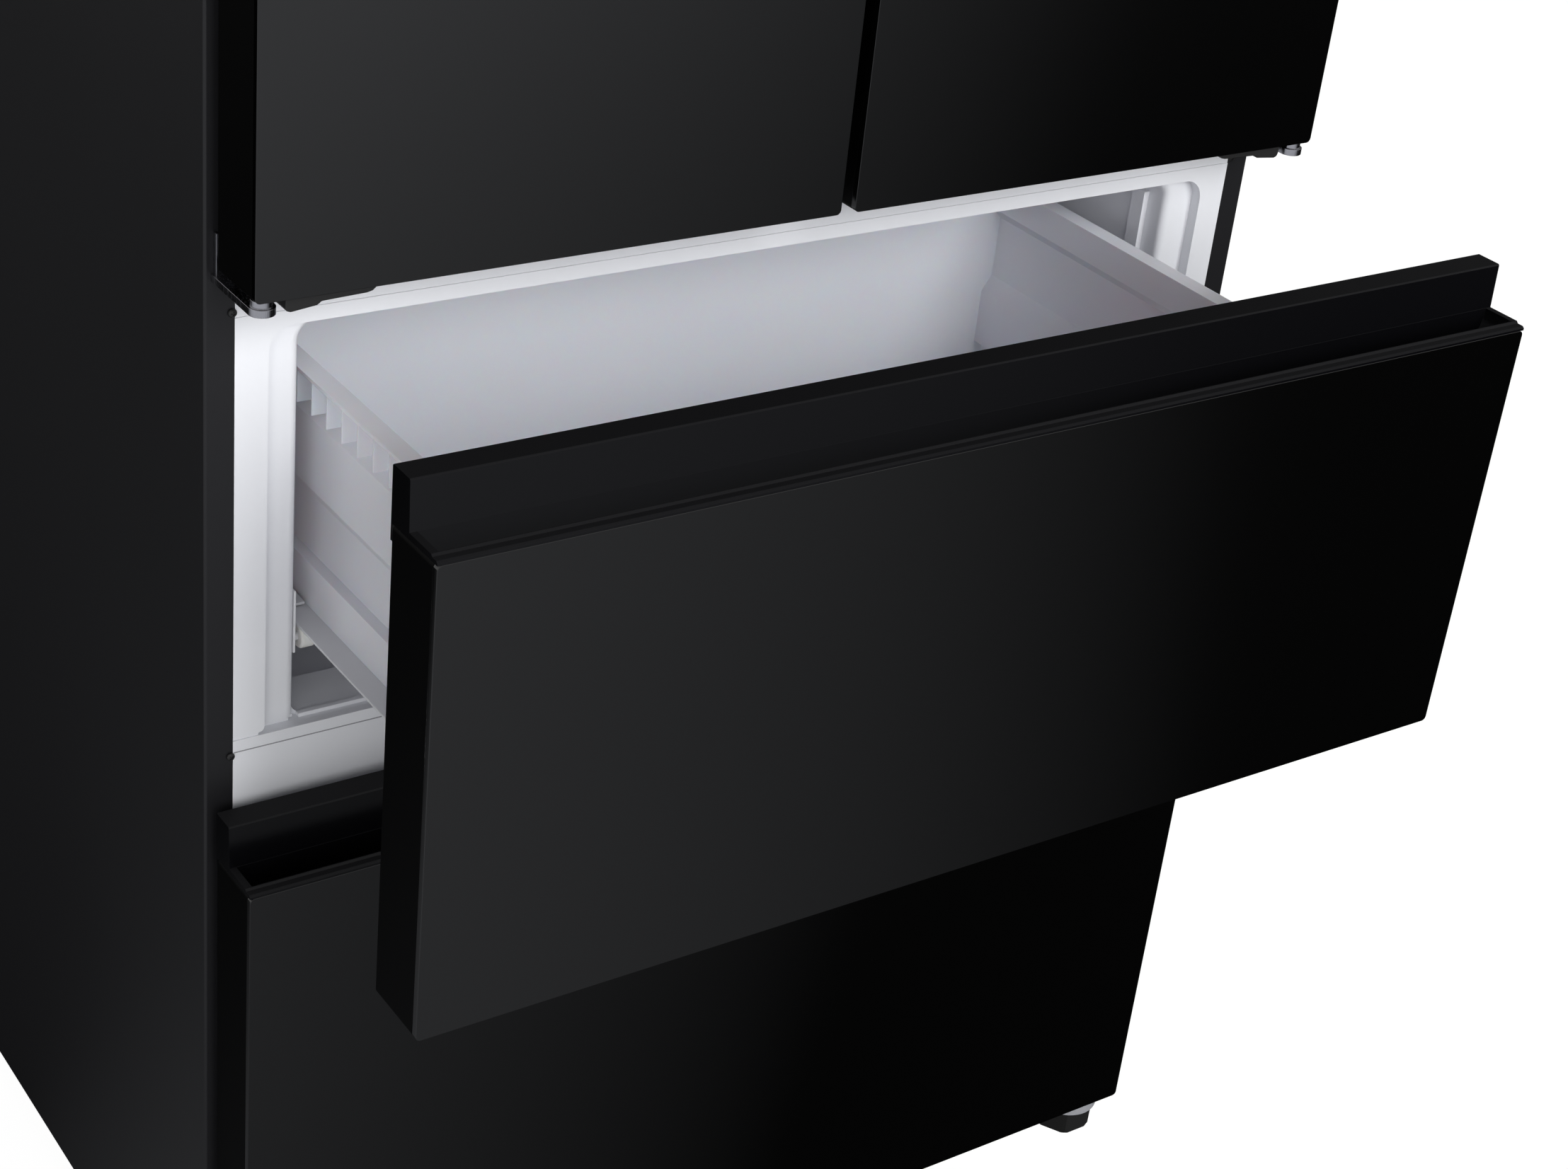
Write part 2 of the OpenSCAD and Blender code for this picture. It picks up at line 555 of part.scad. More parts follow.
// Finned condenser with the plate that holds its fan motor, standing in the drain pan
cond_x = -0.355 * cab_w;
cond_h = 0.72 * bay_h;
pan_z = case_z0 + base_t;
cond_z0 = pan_z + 2;
cfan_x = -0.13 * cab_w;
cfan_z = cond_z0 + cond_h / 2;
cfan_r = 0.37 * bay_d;
module condenser() color([0.6, 0.61, 0.63]) placed() {
    finned_coil(cond_x, cond_x + 0.16 * cab_w, bay_y + 18, back_in - 18, cond_z0, cond_z0 + cond_h,
        9, 6, 3.5);
    difference() {
        block(cfan_x - 8, cfan_x - 6, bay_y + 12, back_in - 12, cond_z0, cond_z0 + cond_h);
        rod_x(cfan_x - 9, cfan_x - 5, comp_y, cfan_z, cfan_r + 2);
    }
    block(cfan_x - 8, cfan_x - 5, comp_y - 8, comp_y + 8, cond_z0, cond_z0 + cond_h);
    rod_x(cfan_x - 7, cfan_x + 22, comp_y, cfan_z, 4);
}
module condenser_fan() color([0.2, 0.2, 0.22]) placed()
    translate([cfan_x, comp_y, cfan_z]) rotate([0, 90, 0]) rotor(cfan_r - 6, 18, 4);
module drain_pan() color([0.25, 0.25, 0.27]) placed() difference() {
    block(cond_x - 40, cfan_x + 40, bay_y + 6, back_in - 6, pan_z, pan_z + 22);
    block(cond_x - 38, cfan_x + 38, bay_y + 8, back_in - 8, cond_z0, pan_z + 23);
}
// Louvred rear cover of the compressor bay, with the grommet for the supply lead
louvre_x = cab_w / 12;
louvre_z = bay_h / 9;
module machine_cover() color([0.3, 0.3, 0.32]) placed() union() {
    difference() {
        block(-cab_w / 2 + sheet_t, cab_w / 2 - sheet_t, back_in, back_in + 1.5, case_z0, bay_z1);
        for (x = [-5:4], z = [0:5]) prism_y(back_in - 1, back_in + 3) rrect((x + 0.1) * louvre_x,
            (x + 0.9) * louvre_x, case_z0 + 40 + z * louvre_z, case_z0 + 50 + z * louvre_z, 4.9, 4.9);
        rod_y(cab_w / 2 - 40, back_in - 1, back_in + 3, case_z0 + 24, 9);
    }
    difference() {
        rod_y(cab_w / 2 - 40, back_in - 3, cab_d - 1, case_z0 + 24, 9);
        rod_y(cab_w / 2 - 40, back_in - 4, cab_d, case_z0 + 24, 4.5);
    }
}

// Levelling foot: six-sided cap, tapered at the floor, on a threaded stud
module foot() union() {
    intersection() {
        translate([0, 0, 0]) cylinder(h = 17, r = foot_af / 2 / cos(30), $fn = 6);
        rotate_extrude() polygon([[0, 0], [foot_af / 2 + 0.4, 0], [foot_af / 2 + 2.4, 5],
            [foot_af / 2 + 3, 17], [0, 17]]);
    }
    cylinder(h = case_z0 - 3, r = stud_r);
}
module left_foot() color([0.07, 0.07, 0.08]) placed() translate([-foot_x, foot_y, 0]) foot();
module right_foot() color([0.07, 0.07, 0.08]) placed() translate([foot_x, foot_y, 0]) foot();

// Rear transport wheel
module castor() rotate([0, 90, 0]) rotate_extrude() polygon([[4 + running_gap, -castor_w / 2],
    [castor_r - 1.5, -castor_w / 2], [castor_r, -castor_w / 2 + 1.5], [castor_r, castor_w / 2 - 1.5],
    [castor_r - 1.5, castor_w / 2], [4 + running_gap, castor_w / 2]]);
module left_castor() color([0.2, 0.2, 0.2]) placed() translate([-castor_x, castor_y, castor_r]) castor();
module right_castor() color([0.2, 0.2, 0.2]) placed() translate([castor_x, castor_y, castor_r]) castor();

// Doors, drawn on the left and mirrored for the right
module door_glass() prism_y(glass_y, glass_back)
    rrect(-front_x, -centre_x, door_z0, door_z1, front_r, front_r);
module door_body() difference() {
    prism_y(glass_back, body_back) rrect(-front_x, -centre_x, door_z0, door_z1, front_r, front_r);
    translate([-pin_x, pin_y, door_z0 - 1]) cylinder(h = pin_len + 2, r = pin_r + running_gap);
    translate([-pin_x, pin_y, door_z1 - pin_len - 1]) cylinder(h = pin_len + 2, r = pin_r + running_gap);
    block(-170, -30, glass_back + 8, body_back - 8, door_z0 - 1, door_z0 + 20);
}
// Inner panel with the raised frame that holds the bins
module door_inner() union() {
    prism_y(body_back, back_y) rrect(-front_x + 3, -centre_x - 3, door_z0 + 3, door_z1 - 3, 3, 3);
    difference() {
        prism_y(back_y - 0.5, dyke_reach)
            rrect(-liner_x + 6, -dyke_in, fridge_in0 + 8, fridge_in1 - 20, 18, 18);
        prism_y(back_y, dyke_reach + 1) rrect(-liner_x + 6 + dyke_t, -dyke_in - dyke_t,
            fridge_in0 + 8 + dyke_t, fridge_in1 - 20 - dyke_t, 10, 10);
    }
}
module seal_ring(x0, x1, z0, z1) prism_y(back_y, -slide_gap) difference() {
    rrect(x0, x1, z0, z1, 8, 8);
    rrect(x0 + seal_w, x1 - seal_w, z0 + seal_w, z1 - seal_w, 3, 3);
}
function seal_low(z0) = z0 - 2 - seal_w;
function seal_high(z1) = z1 + step_rise + seal_gap + seal_w;
seal_x = step_x + seal_gap + seal_w;
module door_gasket() seal_ring(-seal_x, -14, seal_low(fridge_in0), seal_high(fridge_in1));
door_bin_x0 = -liner_x + 6 + dyke_t;
door_bin_x1 = -dyke_in - dyke_t;
door_bin_z = [for (i = [0:2]) fridge_in0 + 40 + i * 0.313 * (fridge_in1 - fridge_in0)];
module door_bins() for (z = door_bin_z) difference() {
    prism_x(door_bin_x0, door_bin_x1) polygon([[back_y, z], [door_bin_reach - 18, z],
        [door_bin_reach, z + 40], [door_bin_reach, z + door_bin_h], [back_y, z + door_bin_h]]);
    prism_x(door_bin_x0 + 3, door_bin_x1 - 3) polygon([[back_y + 3, z + 3], [door_bin_reach - 20, z + 3],
        [door_bin_reach - 3, z + 41], [door_bin_reach - 3, z + door_bin_h + 1],
        [back_y + 3, z + door_bin_h + 1]]);
}
// Self-closing block under the door, beside the hinge
closer_x0 = -pin_x + 11.6;
module closer() prism_y(pin_y - 2, back_y - 8) translate([closer_x0, door_z0]) polygon([[0, 0],
    [0, -7], [0.8, -9], [3, -9.8], [17, -8.2], [19.5, -6.4], [44, -5.6], [47, -4.9], [49, -3.2],
    [50, 0]]);
module left_door_glass() color([0.03, 0.03, 0.035]) placed() door_glass();
module left_door_body() color([0.02, 0.02, 0.02]) placed() door_body();
module left_door_inner() color([0.93, 0.93, 0.93]) placed() union() {
    door_inner();
    for (z = [flap_z0 - 7, flap_z1 + 1]) {
        block(flap_x - 18, flap_x - 7, back_y - 0.5, flap_y + 5, z, z + 6);
        block(flap_x - 18, flap_x + 5, slide_gap, flap_y + 5, z, z + 6);
    }
    for (z = [flap_z0 - 3, flap_z1 - 6]) rod_z(flap_x, flap_y, z, z + 9, flap_pin_r);
}
module left_door_gasket() color([0.6, 0.6, 0.62]) placed() door_gasket();
module left_door_bins() color([0.85, 0.9, 0.92, 0.6]) placed() door_bins();
module left_closer() color([0.1, 0.1, 0.1]) placed() closer();
module right_door_glass() color([0.03, 0.03, 0.035]) placed() mirror([1, 0, 0]) door_glass();
module right_door_body() color([0.02, 0.02, 0.02]) placed() mirror([1, 0, 0]) door_body();
module right_door_inner() color([0.93, 0.93, 0.93]) placed() mirror([1, 0, 0]) door_inner();
module right_door_gasket() color([0.6, 0.6, 0.62]) placed() mirror([1, 0, 0]) door_gasket();
module right_door_bins() color([0.85, 0.9, 0.92, 0.6]) placed() mirror([1, 0, 0]) door_bins();
module right_closer() color([0.1, 0.1, 0.1]) placed() mirror([1, 0, 0]) closer();

// Flap that bridges the two doors' gaskets, shown folded back as with the door open
module mullion_flap() color([0.75, 0.75, 0.77]) placed() difference() {
    translate([flap_x, flap_y, flap_z0]) linear_extrude(flap_z1 - flap_z0)
        rrect(-flap_t + 3, 3, -2, flap_w - 2, 4, 1.5);
    for (z = [flap_z0 - 1, flap_z1 - 11]) rod_z(flap_x, flap_y, z, z + 12, flap_pin_r + running_gap);
    block(flap_x - flap_t - 1, flap_x - flap_t + 5, flap_y + 10, flap_y + flap_w - 12,
        flap_z0 + 30, flap_z1 - 30);
}

// Drawer fronts: z0 and z1 are the glass's bottom and top edges
module drawer_glass(z0, z1) prism_y(glass_y, glass_back) rrect(-front_x, front_x, z0, z1, front_r, front_r);
tub_low = pocket_depth + 5;
tab_low = 8.6;
module drawer_body(z0, z1) difference() {
    prism_y(glass_back, body_back) rrect(-front_x, front_x, z0, z1, front_r, front_r);
    block(-front_x + 2.5, front_x - 2.5, glass_back - 1, body_back + 1, z1 - tub_low, z1 + 1);
}
// Grip trim: tub with the finger pocket, the lip over the glass, and the raised plate
module drawer_grip(z1) difference() {
    union() {
        prism_x(-front_x + 2.5, front_x - 2.5) polygon([[glass_back, z1 - tub_low],
            [body_back, z1 - tub_low], [body_back, z1 + 0.5], [glass_back, z1 + 0.5]]);
        prism_x(-front_x, front_x) union() {
            polygon([[glass_y, z1 + 0.1], [body_back, z1 + 0.1], [body_back, z1 + 3.6],
                [glass_y + 6, z1 + 3.6], [glass_y + 5, z1 + 2.4], [glass_y + 1.2, z1 + 2.4],
                [glass_y, z1 + 1.4]]);
            polygon([[body_back, z1 - tab_low], [back_y, z1 - tab_low], [back_y, z1 + grip_rise - 0.7],
                [back_y - 0.7, z1 + grip_rise], [plate_y + 0.9, z1 + grip_rise],
                [plate_y + 0.2, z1 + grip_rise - 0.8], [plate_y - 0.9, z1], [body_back, z1]]);
        }
    }
    intersection() {
        prism_x(-front_x, front_x)
            rrect(glass_back + 2.6, plate_y - 0.9, z1 - pocket_depth, z1 + 9, 0.5, 8);
        prism_y(glass_back, plate_y) rrect(-front_x + pocket_end, front_x - pocket_end,
            z1 - pocket_depth, z1 + 9, 0.5, pocket_depth);
    }
}
plate_y = back_y - plate_d;
module drawer_inner(z0, z1, in0, in1) union() {
    prism_y(body_back, back_y) rrect(-front_x + 2.5, front_x - 2.5, z0 + 2, z1 - tab_low, 1, 3);
    prism_y(back_y - 0.5, bin_y0 - bin_front_gap)
        rrect(-rail_x + 8, rail_x - 8, in0 + 16, in1 - rim_drop, 14, 14);
}
module drawer_gasket(in0, in1) seal_ring(-seal_x, seal_x, seal_low(in0), seal_high(in1));

// Pair of rails fixed to the drawer's inner panel, with the rear wheels' pins
module drawer_rails(zr) both() union() {
    block(rail_x, rail_x + rail_t, back_y, wheel_y + 8, zr - 20, zr);
    block(rail_x, rail_out, back_y, wheel_y - wheel_r - 4, zr - rail_t, zr);
    block(rail_x, rail_out, back_y, back_y + 2, zr - 20, zr + 45);
    rod_x(rail_x + 0.5, track_in + 11.5, wheel_y, roller_z(zr), axle_r);
}
module front_rollers(zr) both() disc_x(track_in + 2, track_in + 11, roller_y, roller_z(zr), roller_r);
module rear_wheels(zr) both() disc_x(track_in + 1, track_in + 10, wheel_y, roller_z(zr), wheel_r);
module disc_x(x0, x1, y, z, r) translate([x0, y, z]) rotate([0, 90, 0]) rotate_extrude()
    polygon([[axle_r + running_gap, 0], [r - 1, 0], [r, 1], [r, x1 - x0 - 1], [r - 1, x1 - x0],
        [axle_r + running_gap, x1 - x0]]);

// Moulded bin: waisted sides that sit on the rails, and a ribbed rim
module bin(z0, z1) {
    za = z1 - 68;
    zb = z0 + seat_h + 27;
    difference() {
        union() {
            intersection() {
                prism_y(bin_y0, bin_y0 + bin_len) bin_outline(z0, z1, za, zb, 0);
                translate([0, 0, z0 - 1]) linear_extrude(z1 - z0 + 2)
                    rrect(-rim_x, rim_x, bin_y0, bin_y0 + bin_len, 10, 10);
            }
            both() for (y = [bin_y0 + 12:rib_pitch:bin_y0 + bin_len - 12])
                block(inset_x - 1, rim_x - 0.6, y, y + 1.2, z1 - rim_h + 5.5, z1 - 1);
        }
        intersection() {
            prism_y(bin_y0 + bin_wall, bin_y0 + bin_len - bin_wall)
                bin_outline(z0, z1 + 1, za, zb, bin_wall);
            translate([0, 0, z0]) linear_extrude(z1 - z0 + 2)
                rrect(-rim_x, rim_x, bin_y0 + bin_wall, bin_y0 + bin_len - bin_wall, 8, 8);
        }
    }
}
// Half outline from the bottom up, mirrored; in is the wall taken off for the inside
module bin_outline(z0, z1, za, zb, in) {
    lip = in > 0 ? inset_x - in : rim_x;
    zi = z1 - rim_h - in / 2;
    half = [[low_x - 3 - in, z0 + in], [low_x - in, z0 + 14], [low_x - in, z0 + seat_h + in / 2],
        [bin_x - in, z0 + seat_h + in / 2], [bin_x - in, zb - in], [waist_x - in, zb - in / 2],
        [waist_x - in, za - 12 + in / 2], [bin_x - in, za], [bin_x - in, zi], [inset_x - in, zi + 7],
        [inset_x - in, z1 - 2.2], [lip, z1 - 2.2], [lip, z1]];
    polygon(concat(half, [for (i = [len(half) - 1:-1:0]) [-half[i][0], half[i][1]]]));
}

module slid_out() translate([0, -drawer_out, 0]) children();
module upper_glass() color([0.03, 0.03, 0.035]) placed() slid_out() drawer_glass(upper_z0, upper_z1);
module upper_body() color([0.02, 0.02, 0.02]) placed() slid_out() drawer_body(upper_z0, upper_z1);
module upper_grip() color([0.06, 0.06, 0.07]) placed() slid_out() drawer_grip(upper_z1);
module upper_inner() color([0.93, 0.93, 0.93]) placed() slid_out()
    drawer_inner(upper_z0, upper_z1, upper_in0, upper_in1);
module upper_gasket() color([0.6, 0.6, 0.62]) placed() slid_out() drawer_gasket(upper_in0, upper_in1);
module upper_rails() color([0.86, 0.87, 0.88]) placed() slid_out() drawer_rails(rail_z(upper_in0));
module upper_bin() color([0.87, 0.88, 0.9]) placed() slid_out() bin(bin_z(upper_in0), upper_in1 - rim_drop);
module upper_front_rollers() color([0.92, 0.92, 0.92]) placed() front_rollers(rail_z(upper_in0));
module upper_rear_wheels() color([0.92, 0.92, 0.92]) placed() slid_out() rear_wheels(rail_z(upper_in0));
module lower_glass() color([0.03, 0.03, 0.035]) placed() drawer_glass(lower_z0, lower_z1);
module lower_body() color([0.02, 0.02, 0.02]) placed() drawer_body(lower_z0, lower_z1);
module lower_grip() color([0.06, 0.06, 0.07]) placed() drawer_grip(lower_z1);
module lower_inner() color([0.93, 0.93, 0.93]) placed()
    drawer_inner(lower_z0, lower_z1, lower_in0, lower_in1);
module lower_gasket() color([0.6, 0.6, 0.62]) placed() drawer_gasket(lower_in0, lower_in1);
module lower_rails() color([0.86, 0.87, 0.88]) placed() drawer_rails(rail_z(lower_in0));
module lower_bin() color([0.87, 0.88, 0.9]) placed() bin(bin_z(lower_in0), lower_in1 - rim_drop);
module lower_front_rollers() color([0.92, 0.92, 0.92]) placed() front_rollers(rail_z(lower_in0));
module lower_rear_wheels() color([0.92, 0.92, 0.92]) placed() rear_wheels(rail_z(lower_in0));

outer_case();
insulation();
back_panel();
fridge_liner();
upper_freezer_liner();
lower_freezer_liner();
rail_covers();
base_frame();
foot_brackets();
middle_hinges();
top_hinges();
hinge_covers();
glass_shelves();
shelf_trims();
crisper_drawers();
fridge_air_duct();
freezer_runners();
evaporator();
evaporator_cover();
compressor();
condenser();
drain_pan();
machine_cover();
evaporator_fan();
condenser_fan();
left_foot();
right_foot();
left_castor();
right_castor();
left_door_glass();
left_door_body();
left_door_inner();
left_door_gasket();
left_door_bins();
left_closer();
right_door_glass();
right_door_body();
right_door_inner();
right_door_gasket();
right_door_bins();
right_closer();
mullion_flap();
upper_glass();
upper_body();
upper_grip();
upper_inner();
upper_gasket();
upper_rails();
upper_bin();
upper_front_rollers();
upper_rear_wheels();
lower_glass();
lower_body();
lower_grip();
lower_inner();
lower_gasket();
lower_rails();
lower_bin();
lower_front_rollers();
lower_rear_wheels();
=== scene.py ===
import json
import math
import bpy
import bmesh
from mathutils import Matrix, Vector
from mathutils.bvhtree import BVHTree


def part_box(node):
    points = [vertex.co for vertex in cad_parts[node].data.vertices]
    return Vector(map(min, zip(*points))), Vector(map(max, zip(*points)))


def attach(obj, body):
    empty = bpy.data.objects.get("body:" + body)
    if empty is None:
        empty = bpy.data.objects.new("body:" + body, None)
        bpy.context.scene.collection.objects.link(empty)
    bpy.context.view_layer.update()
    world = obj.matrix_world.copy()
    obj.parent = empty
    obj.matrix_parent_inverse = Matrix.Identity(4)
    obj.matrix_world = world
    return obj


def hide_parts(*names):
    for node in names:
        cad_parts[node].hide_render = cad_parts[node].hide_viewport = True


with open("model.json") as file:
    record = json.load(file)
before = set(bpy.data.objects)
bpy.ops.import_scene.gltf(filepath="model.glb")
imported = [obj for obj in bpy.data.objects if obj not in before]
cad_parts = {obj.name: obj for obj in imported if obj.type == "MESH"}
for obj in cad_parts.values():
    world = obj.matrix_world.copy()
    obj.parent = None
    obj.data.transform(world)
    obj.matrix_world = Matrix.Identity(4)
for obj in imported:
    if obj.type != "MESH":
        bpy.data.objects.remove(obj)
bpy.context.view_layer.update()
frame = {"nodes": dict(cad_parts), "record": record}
cadNodes = frame["nodes"]
scene = bpy.context.scene
print("frame loaded:", len(cadNodes), "nodes")


# nodes

def feed(tree, node, values):
    # sockets are linked and numbers set, in the order of the node's inputs
    for index, value in enumerate(values):
        if isinstance(value, (int, float)):
            node.inputs[index].default_value = value
        else:
            tree.links.new(value, node.inputs[index])
    return node.outputs[0]


def worked(tree, kind, *values):
    node = tree.nodes.new("ShaderNodeMath")
    node.operation = kind
    return feed(tree, node, values)


def along(tree, place, way):
    # how far a place or direction reaches along a way
    node = tree.nodes.new("ShaderNodeVectorMath")
    node.operation = "DOT_PRODUCT"
    node.inputs[1].default_value = way
    tree.links.new(place, node.inputs[0])
    return node.outputs["Value"]


def ramp(tree, value, low, high, top):
    # 0 up to low, rising to top at high
    node = tree.nodes.new("ShaderNodeMapRange")
    node.inputs["From Min"].default_value = low
    node.inputs["From Max"].default_value = high
    node.inputs["To Max"].default_value = top
    tree.links.new(value, node.inputs["Value"])
    return node.outputs[0]


def mixed(tree, share, first, second):
    return feed(tree, tree.nodes.new("ShaderNodeMixShader"), (share, first, second))


# camera and studio

cameraSettings = {
    "place": (-0.8589, -1.3385, 1.3155),  # metres, row frame
    "right": (0.8247, -0.5566, 0.1010),
    "up": (0.1976, 0.4507, 0.8705),
    "lens": 62.74,
    "sensor": 36.0,
    "clip": (0.05, 60),
}
studioSettings = {
    "floorSize": 16.0,
    "floorShade": 0.86,
    "floorGlow": 0.90,  # share of plain white that the camera sees on the floor
    "floorBright": 1.08,
    "fillLight": 0.13,  # world strength on the object
    "behind": (0.57, 0.65, 0.50),  # shiny faces see the studio darker this way
    "behindFrom": 0.35,  # cosine to that way where the darkening starts
    "behindTo": 0.95,
    "behindDark": 0.85,
    "keySun": 2.25,
    "keyTowards": (-0.12, 0.95, -0.50),
    "keyAngle": 34,  # degrees that the sun's disc takes up
    "sideSun": 1.60,
    "sideTowards": (0.45, 0.88, -0.10),
    "sideAngle": 50,
    "mirrorAcross": (-1.0, -1.0, 0.0),  # shiny faces see the floor brighten along this way
    "mirrorFrom": 0.2,  # dark up to here, in metres along it times root 2
    "mirrorTo": 2.0,
    "mirrorBright": 0.98,
    "mirrorTint": (0.93, 0.95, 1.0, 1),
}


def placeCamera(s):
    right = Vector(s["right"]).normalized()
    up = Vector(s["up"])
    up = (up - right * up.dot(right)).normalized()
    back = right.cross(up)
    turn = Matrix((right, up, back)).transposed().to_4x4()
    data = bpy.data.cameras.new("photoCamera")
    data.lens, data.sensor_width, data.sensor_fit = s["lens"], s["sensor"], "HORIZONTAL"
    data.clip_start, data.clip_end = s["clip"]
    camera = bpy.data.objects.new("photoCamera", data)
    camera.matrix_world = Matrix.Translation(s["place"]) @ turn
    scene.collection.objects.link(camera)
    scene.camera = camera


def addSun(name, strength, angle, towards):
    data = bpy.data.lights.new(name, "SUN")
    data.energy, data.angle = strength, math.radians(angle)
    lamp = bpy.data.objects.new(name, data)
    lamp.rotation_euler = Vector(towards).to_track_quat("-Z", "Y").to_euler()
    lamp.visible_glossy = False
    scene.collection.objects.link(lamp)


def buildWorld(s):
    # white for the camera and in reflections, dimmer as light on the object
    world = bpy.data.worlds.new("studio")
    scene.world = world
    world.use_nodes = True
    tree = world.node_tree
    tree.nodes.clear()
    rays = tree.nodes.new("ShaderNodeLightPath")
    glossy = rays.outputs["Is Glossy Ray"]
    seen = worked(tree, "MAXIMUM", rays.outputs["Is Camera Ray"], glossy)
    clear = worked(tree, "MAXIMUM", seen, rays.outputs["Is Transmission Ray"])
    plain = tree.nodes.new("ShaderNodeBackground")
    plain.inputs["Color"].default_value = (1, 1, 1, 1)
    plain.inputs["Strength"].default_value = s["fillLight"]
    look = tree.nodes.new("ShaderNodeTexCoord")
    facing = along(tree, look.outputs["Generated"], Vector(s["behind"]).normalized())
    darker = ramp(tree, facing, s["behindFrom"], s["behindTo"], s["behindDark"])
    white = tree.nodes.new("ShaderNodeBackground")
    white.inputs["Color"].default_value = (1, 1, 1, 1)
    bright = worked(tree, "SUBTRACT", 1.0, worked(tree, "MULTIPLY", glossy, darker))
    tree.links.new(bright, white.inputs["Strength"])
    out = tree.nodes.new("ShaderNodeOutputWorld")
    tree.links.new(mixed(tree, clear, plain.outputs[0], white.outputs[0]), out.inputs["Surface"])


def buildFloor(s):
    # near white for the camera, with the object's shadow; shiny faces see it brighten along one way
    half = s["floorSize"] / 2
    mesh = bpy.data.meshes.new("studioFloor")
    mesh.from_pydata([(-half, -half, 0), (half, -half, 0), (half, half, 0), (-half, half, 0)], [],
                     [(0, 1, 2, 3)])
    floor = bpy.data.objects.new("studioFloor", mesh)
    scene.collection.objects.link(floor)
    material = bpy.data.materials.new("studioFloor")
    material.use_nodes = True
    tree = material.node_tree
    tree.nodes.clear()
    rays = tree.nodes.new("ShaderNodeLightPath")
    paint = tree.nodes.new("ShaderNodeBsdfDiffuse")
    paint.inputs["Color"].default_value = (s["floorShade"],) * 3 + (1,)
    glow = tree.nodes.new("ShaderNodeEmission")
    glow.inputs["Strength"].default_value = s["floorBright"]
    share = worked(tree, "MULTIPLY", rays.outputs["Is Camera Ray"], s["floorGlow"])
    lit = mixed(tree, share, paint.outputs[0], glow.outputs[0])
    where = tree.nodes.new("ShaderNodeTexCoord")
    reach = along(tree, where.outputs["Object"], s["mirrorAcross"])
    mirrored = tree.nodes.new("ShaderNodeEmission")
    mirrored.inputs["Color"].default_value = s["mirrorTint"]
    tree.links.new(ramp(tree, reach, s["mirrorFrom"], s["mirrorTo"], s["mirrorBright"]),
                   mirrored.inputs["Strength"])
    out = tree.nodes.new("ShaderNodeOutputMaterial")
    tree.links.new(mixed(tree, rays.outputs["Is Glossy Ray"], lit, mirrored.outputs[0]),
                   out.inputs["Surface"])
    mesh.materials.append(material)


def lightStudio(s):
    addSun("keySun", s["keySun"], s["keyAngle"], s["keyTowards"])
    addSun("sideSun", s["sideSun"], s["sideAngle"], s["sideTowards"])
    scene.view_settings.view_transform = "Standard"


placeCamera(cameraSettings)
buildWorld(studioSettings)
buildFloor(studioSettings)
lightStudio(studioSettings)
print("camera and studio placed")


# shader node groups

def newGroup(name, inputs, outputs):
    group = bpy.data.node_groups.new(name, "ShaderNodeTree")
    for label, kind, value in inputs:
        socket = group.interface.new_socket(label, in_out="INPUT", socket_type=kind)
        socket.default_value = value
    for label, kind in outputs:
        group.interface.new_socket(label, in_out="OUTPUT", socket_type=kind)
    return group, group.nodes.new("NodeGroupInput"), group.nodes.new("NodeGroupOutput")


effectOutputs = [("Color", "NodeSocketColor"), ("Roughness", "NodeSocketFloat"),
                 ("Height", "NodeSocketFloat")]
patternSettings = {
    "grainDetail": 3,
    "toneDetail": 4,
    "streakDetail": 5,
    "streakStretch": 0.04,  # of the scale across, so streaks are long up and down
    "streakRoughness": 0.18,
}


def noise(group, place, scale, detail):
    node = group.nodes.new("ShaderNodeTexNoise")
    node.inputs["Detail"].default_value = detail
    group.links.new(place, node.inputs["Vector"])
    group.links.new(scale, node.inputs["Scale"])
    return node.outputs["Fac"]


def toned(group, given, centred, amount):
    # the colour, lighter and darker with a pattern that lies about zero
    shade = group.nodes.new("ShaderNodeVectorMath")
    shade.operation = "SCALE"
    group.links.new(given.outputs["Color"], shade.inputs[0])
    group.links.new(worked(group, "MULTIPLY_ADD", centred, given.outputs[amount], 1.0),
                    shade.inputs["Scale"])
    return shade.outputs[0]


def finishGroup(group, result, color, roughness, height):
    for label, value in (("Color", color), ("Roughness", roughness), ("Height", height)):
        group.links.new(value, result.inputs[label])
    return group


def mouldedGrainGroup(s):
    # fine spark-eroded texture of moulded plastic or painted steel, with slow changes of tone
    group, given, result = newGroup("mouldedGrain", [
        ("Grain Scale", "NodeSocketFloat", 900.0),
        ("Tone Scale", "NodeSocketFloat", 3.0),
        ("Tone Amount", "NodeSocketFloat", 0.06),
        ("Roughness", "NodeSocketFloat", 0.45),
        ("Roughness Change", "NodeSocketFloat", 0.08),
        ("Top Dullness", "NodeSocketFloat", 0.0),
        ("Color", "NodeSocketColor", (0.5, 0.5, 0.5, 1)),
    ], effectOutputs)
    where = group.nodes.new("ShaderNodeTexCoord")
    grain = noise(group, where.outputs["Object"], given.outputs["Grain Scale"], s["grainDetail"])
    slow = noise(group, where.outputs["Object"], given.outputs["Tone Scale"], s["toneDetail"])
    centred = worked(group, "SUBTRACT", slow, 0.5)
    rough = worked(group, "MULTIPLY_ADD", centred, given.outputs["Roughness Change"],
                   given.outputs["Roughness"])
    upward = group.nodes.new("ShaderNodeSeparateXYZ")
    group.links.new(where.outputs["Normal"], upward.inputs[0])
    topShare = worked(group, "MAXIMUM", upward.outputs["Z"], 0.0)
    duller = worked(group, "MULTIPLY_ADD", topShare, given.outputs["Top Dullness"], rough)
    return finishGroup(group, result, toned(group, given, centred, "Tone Amount"), duller, grain)


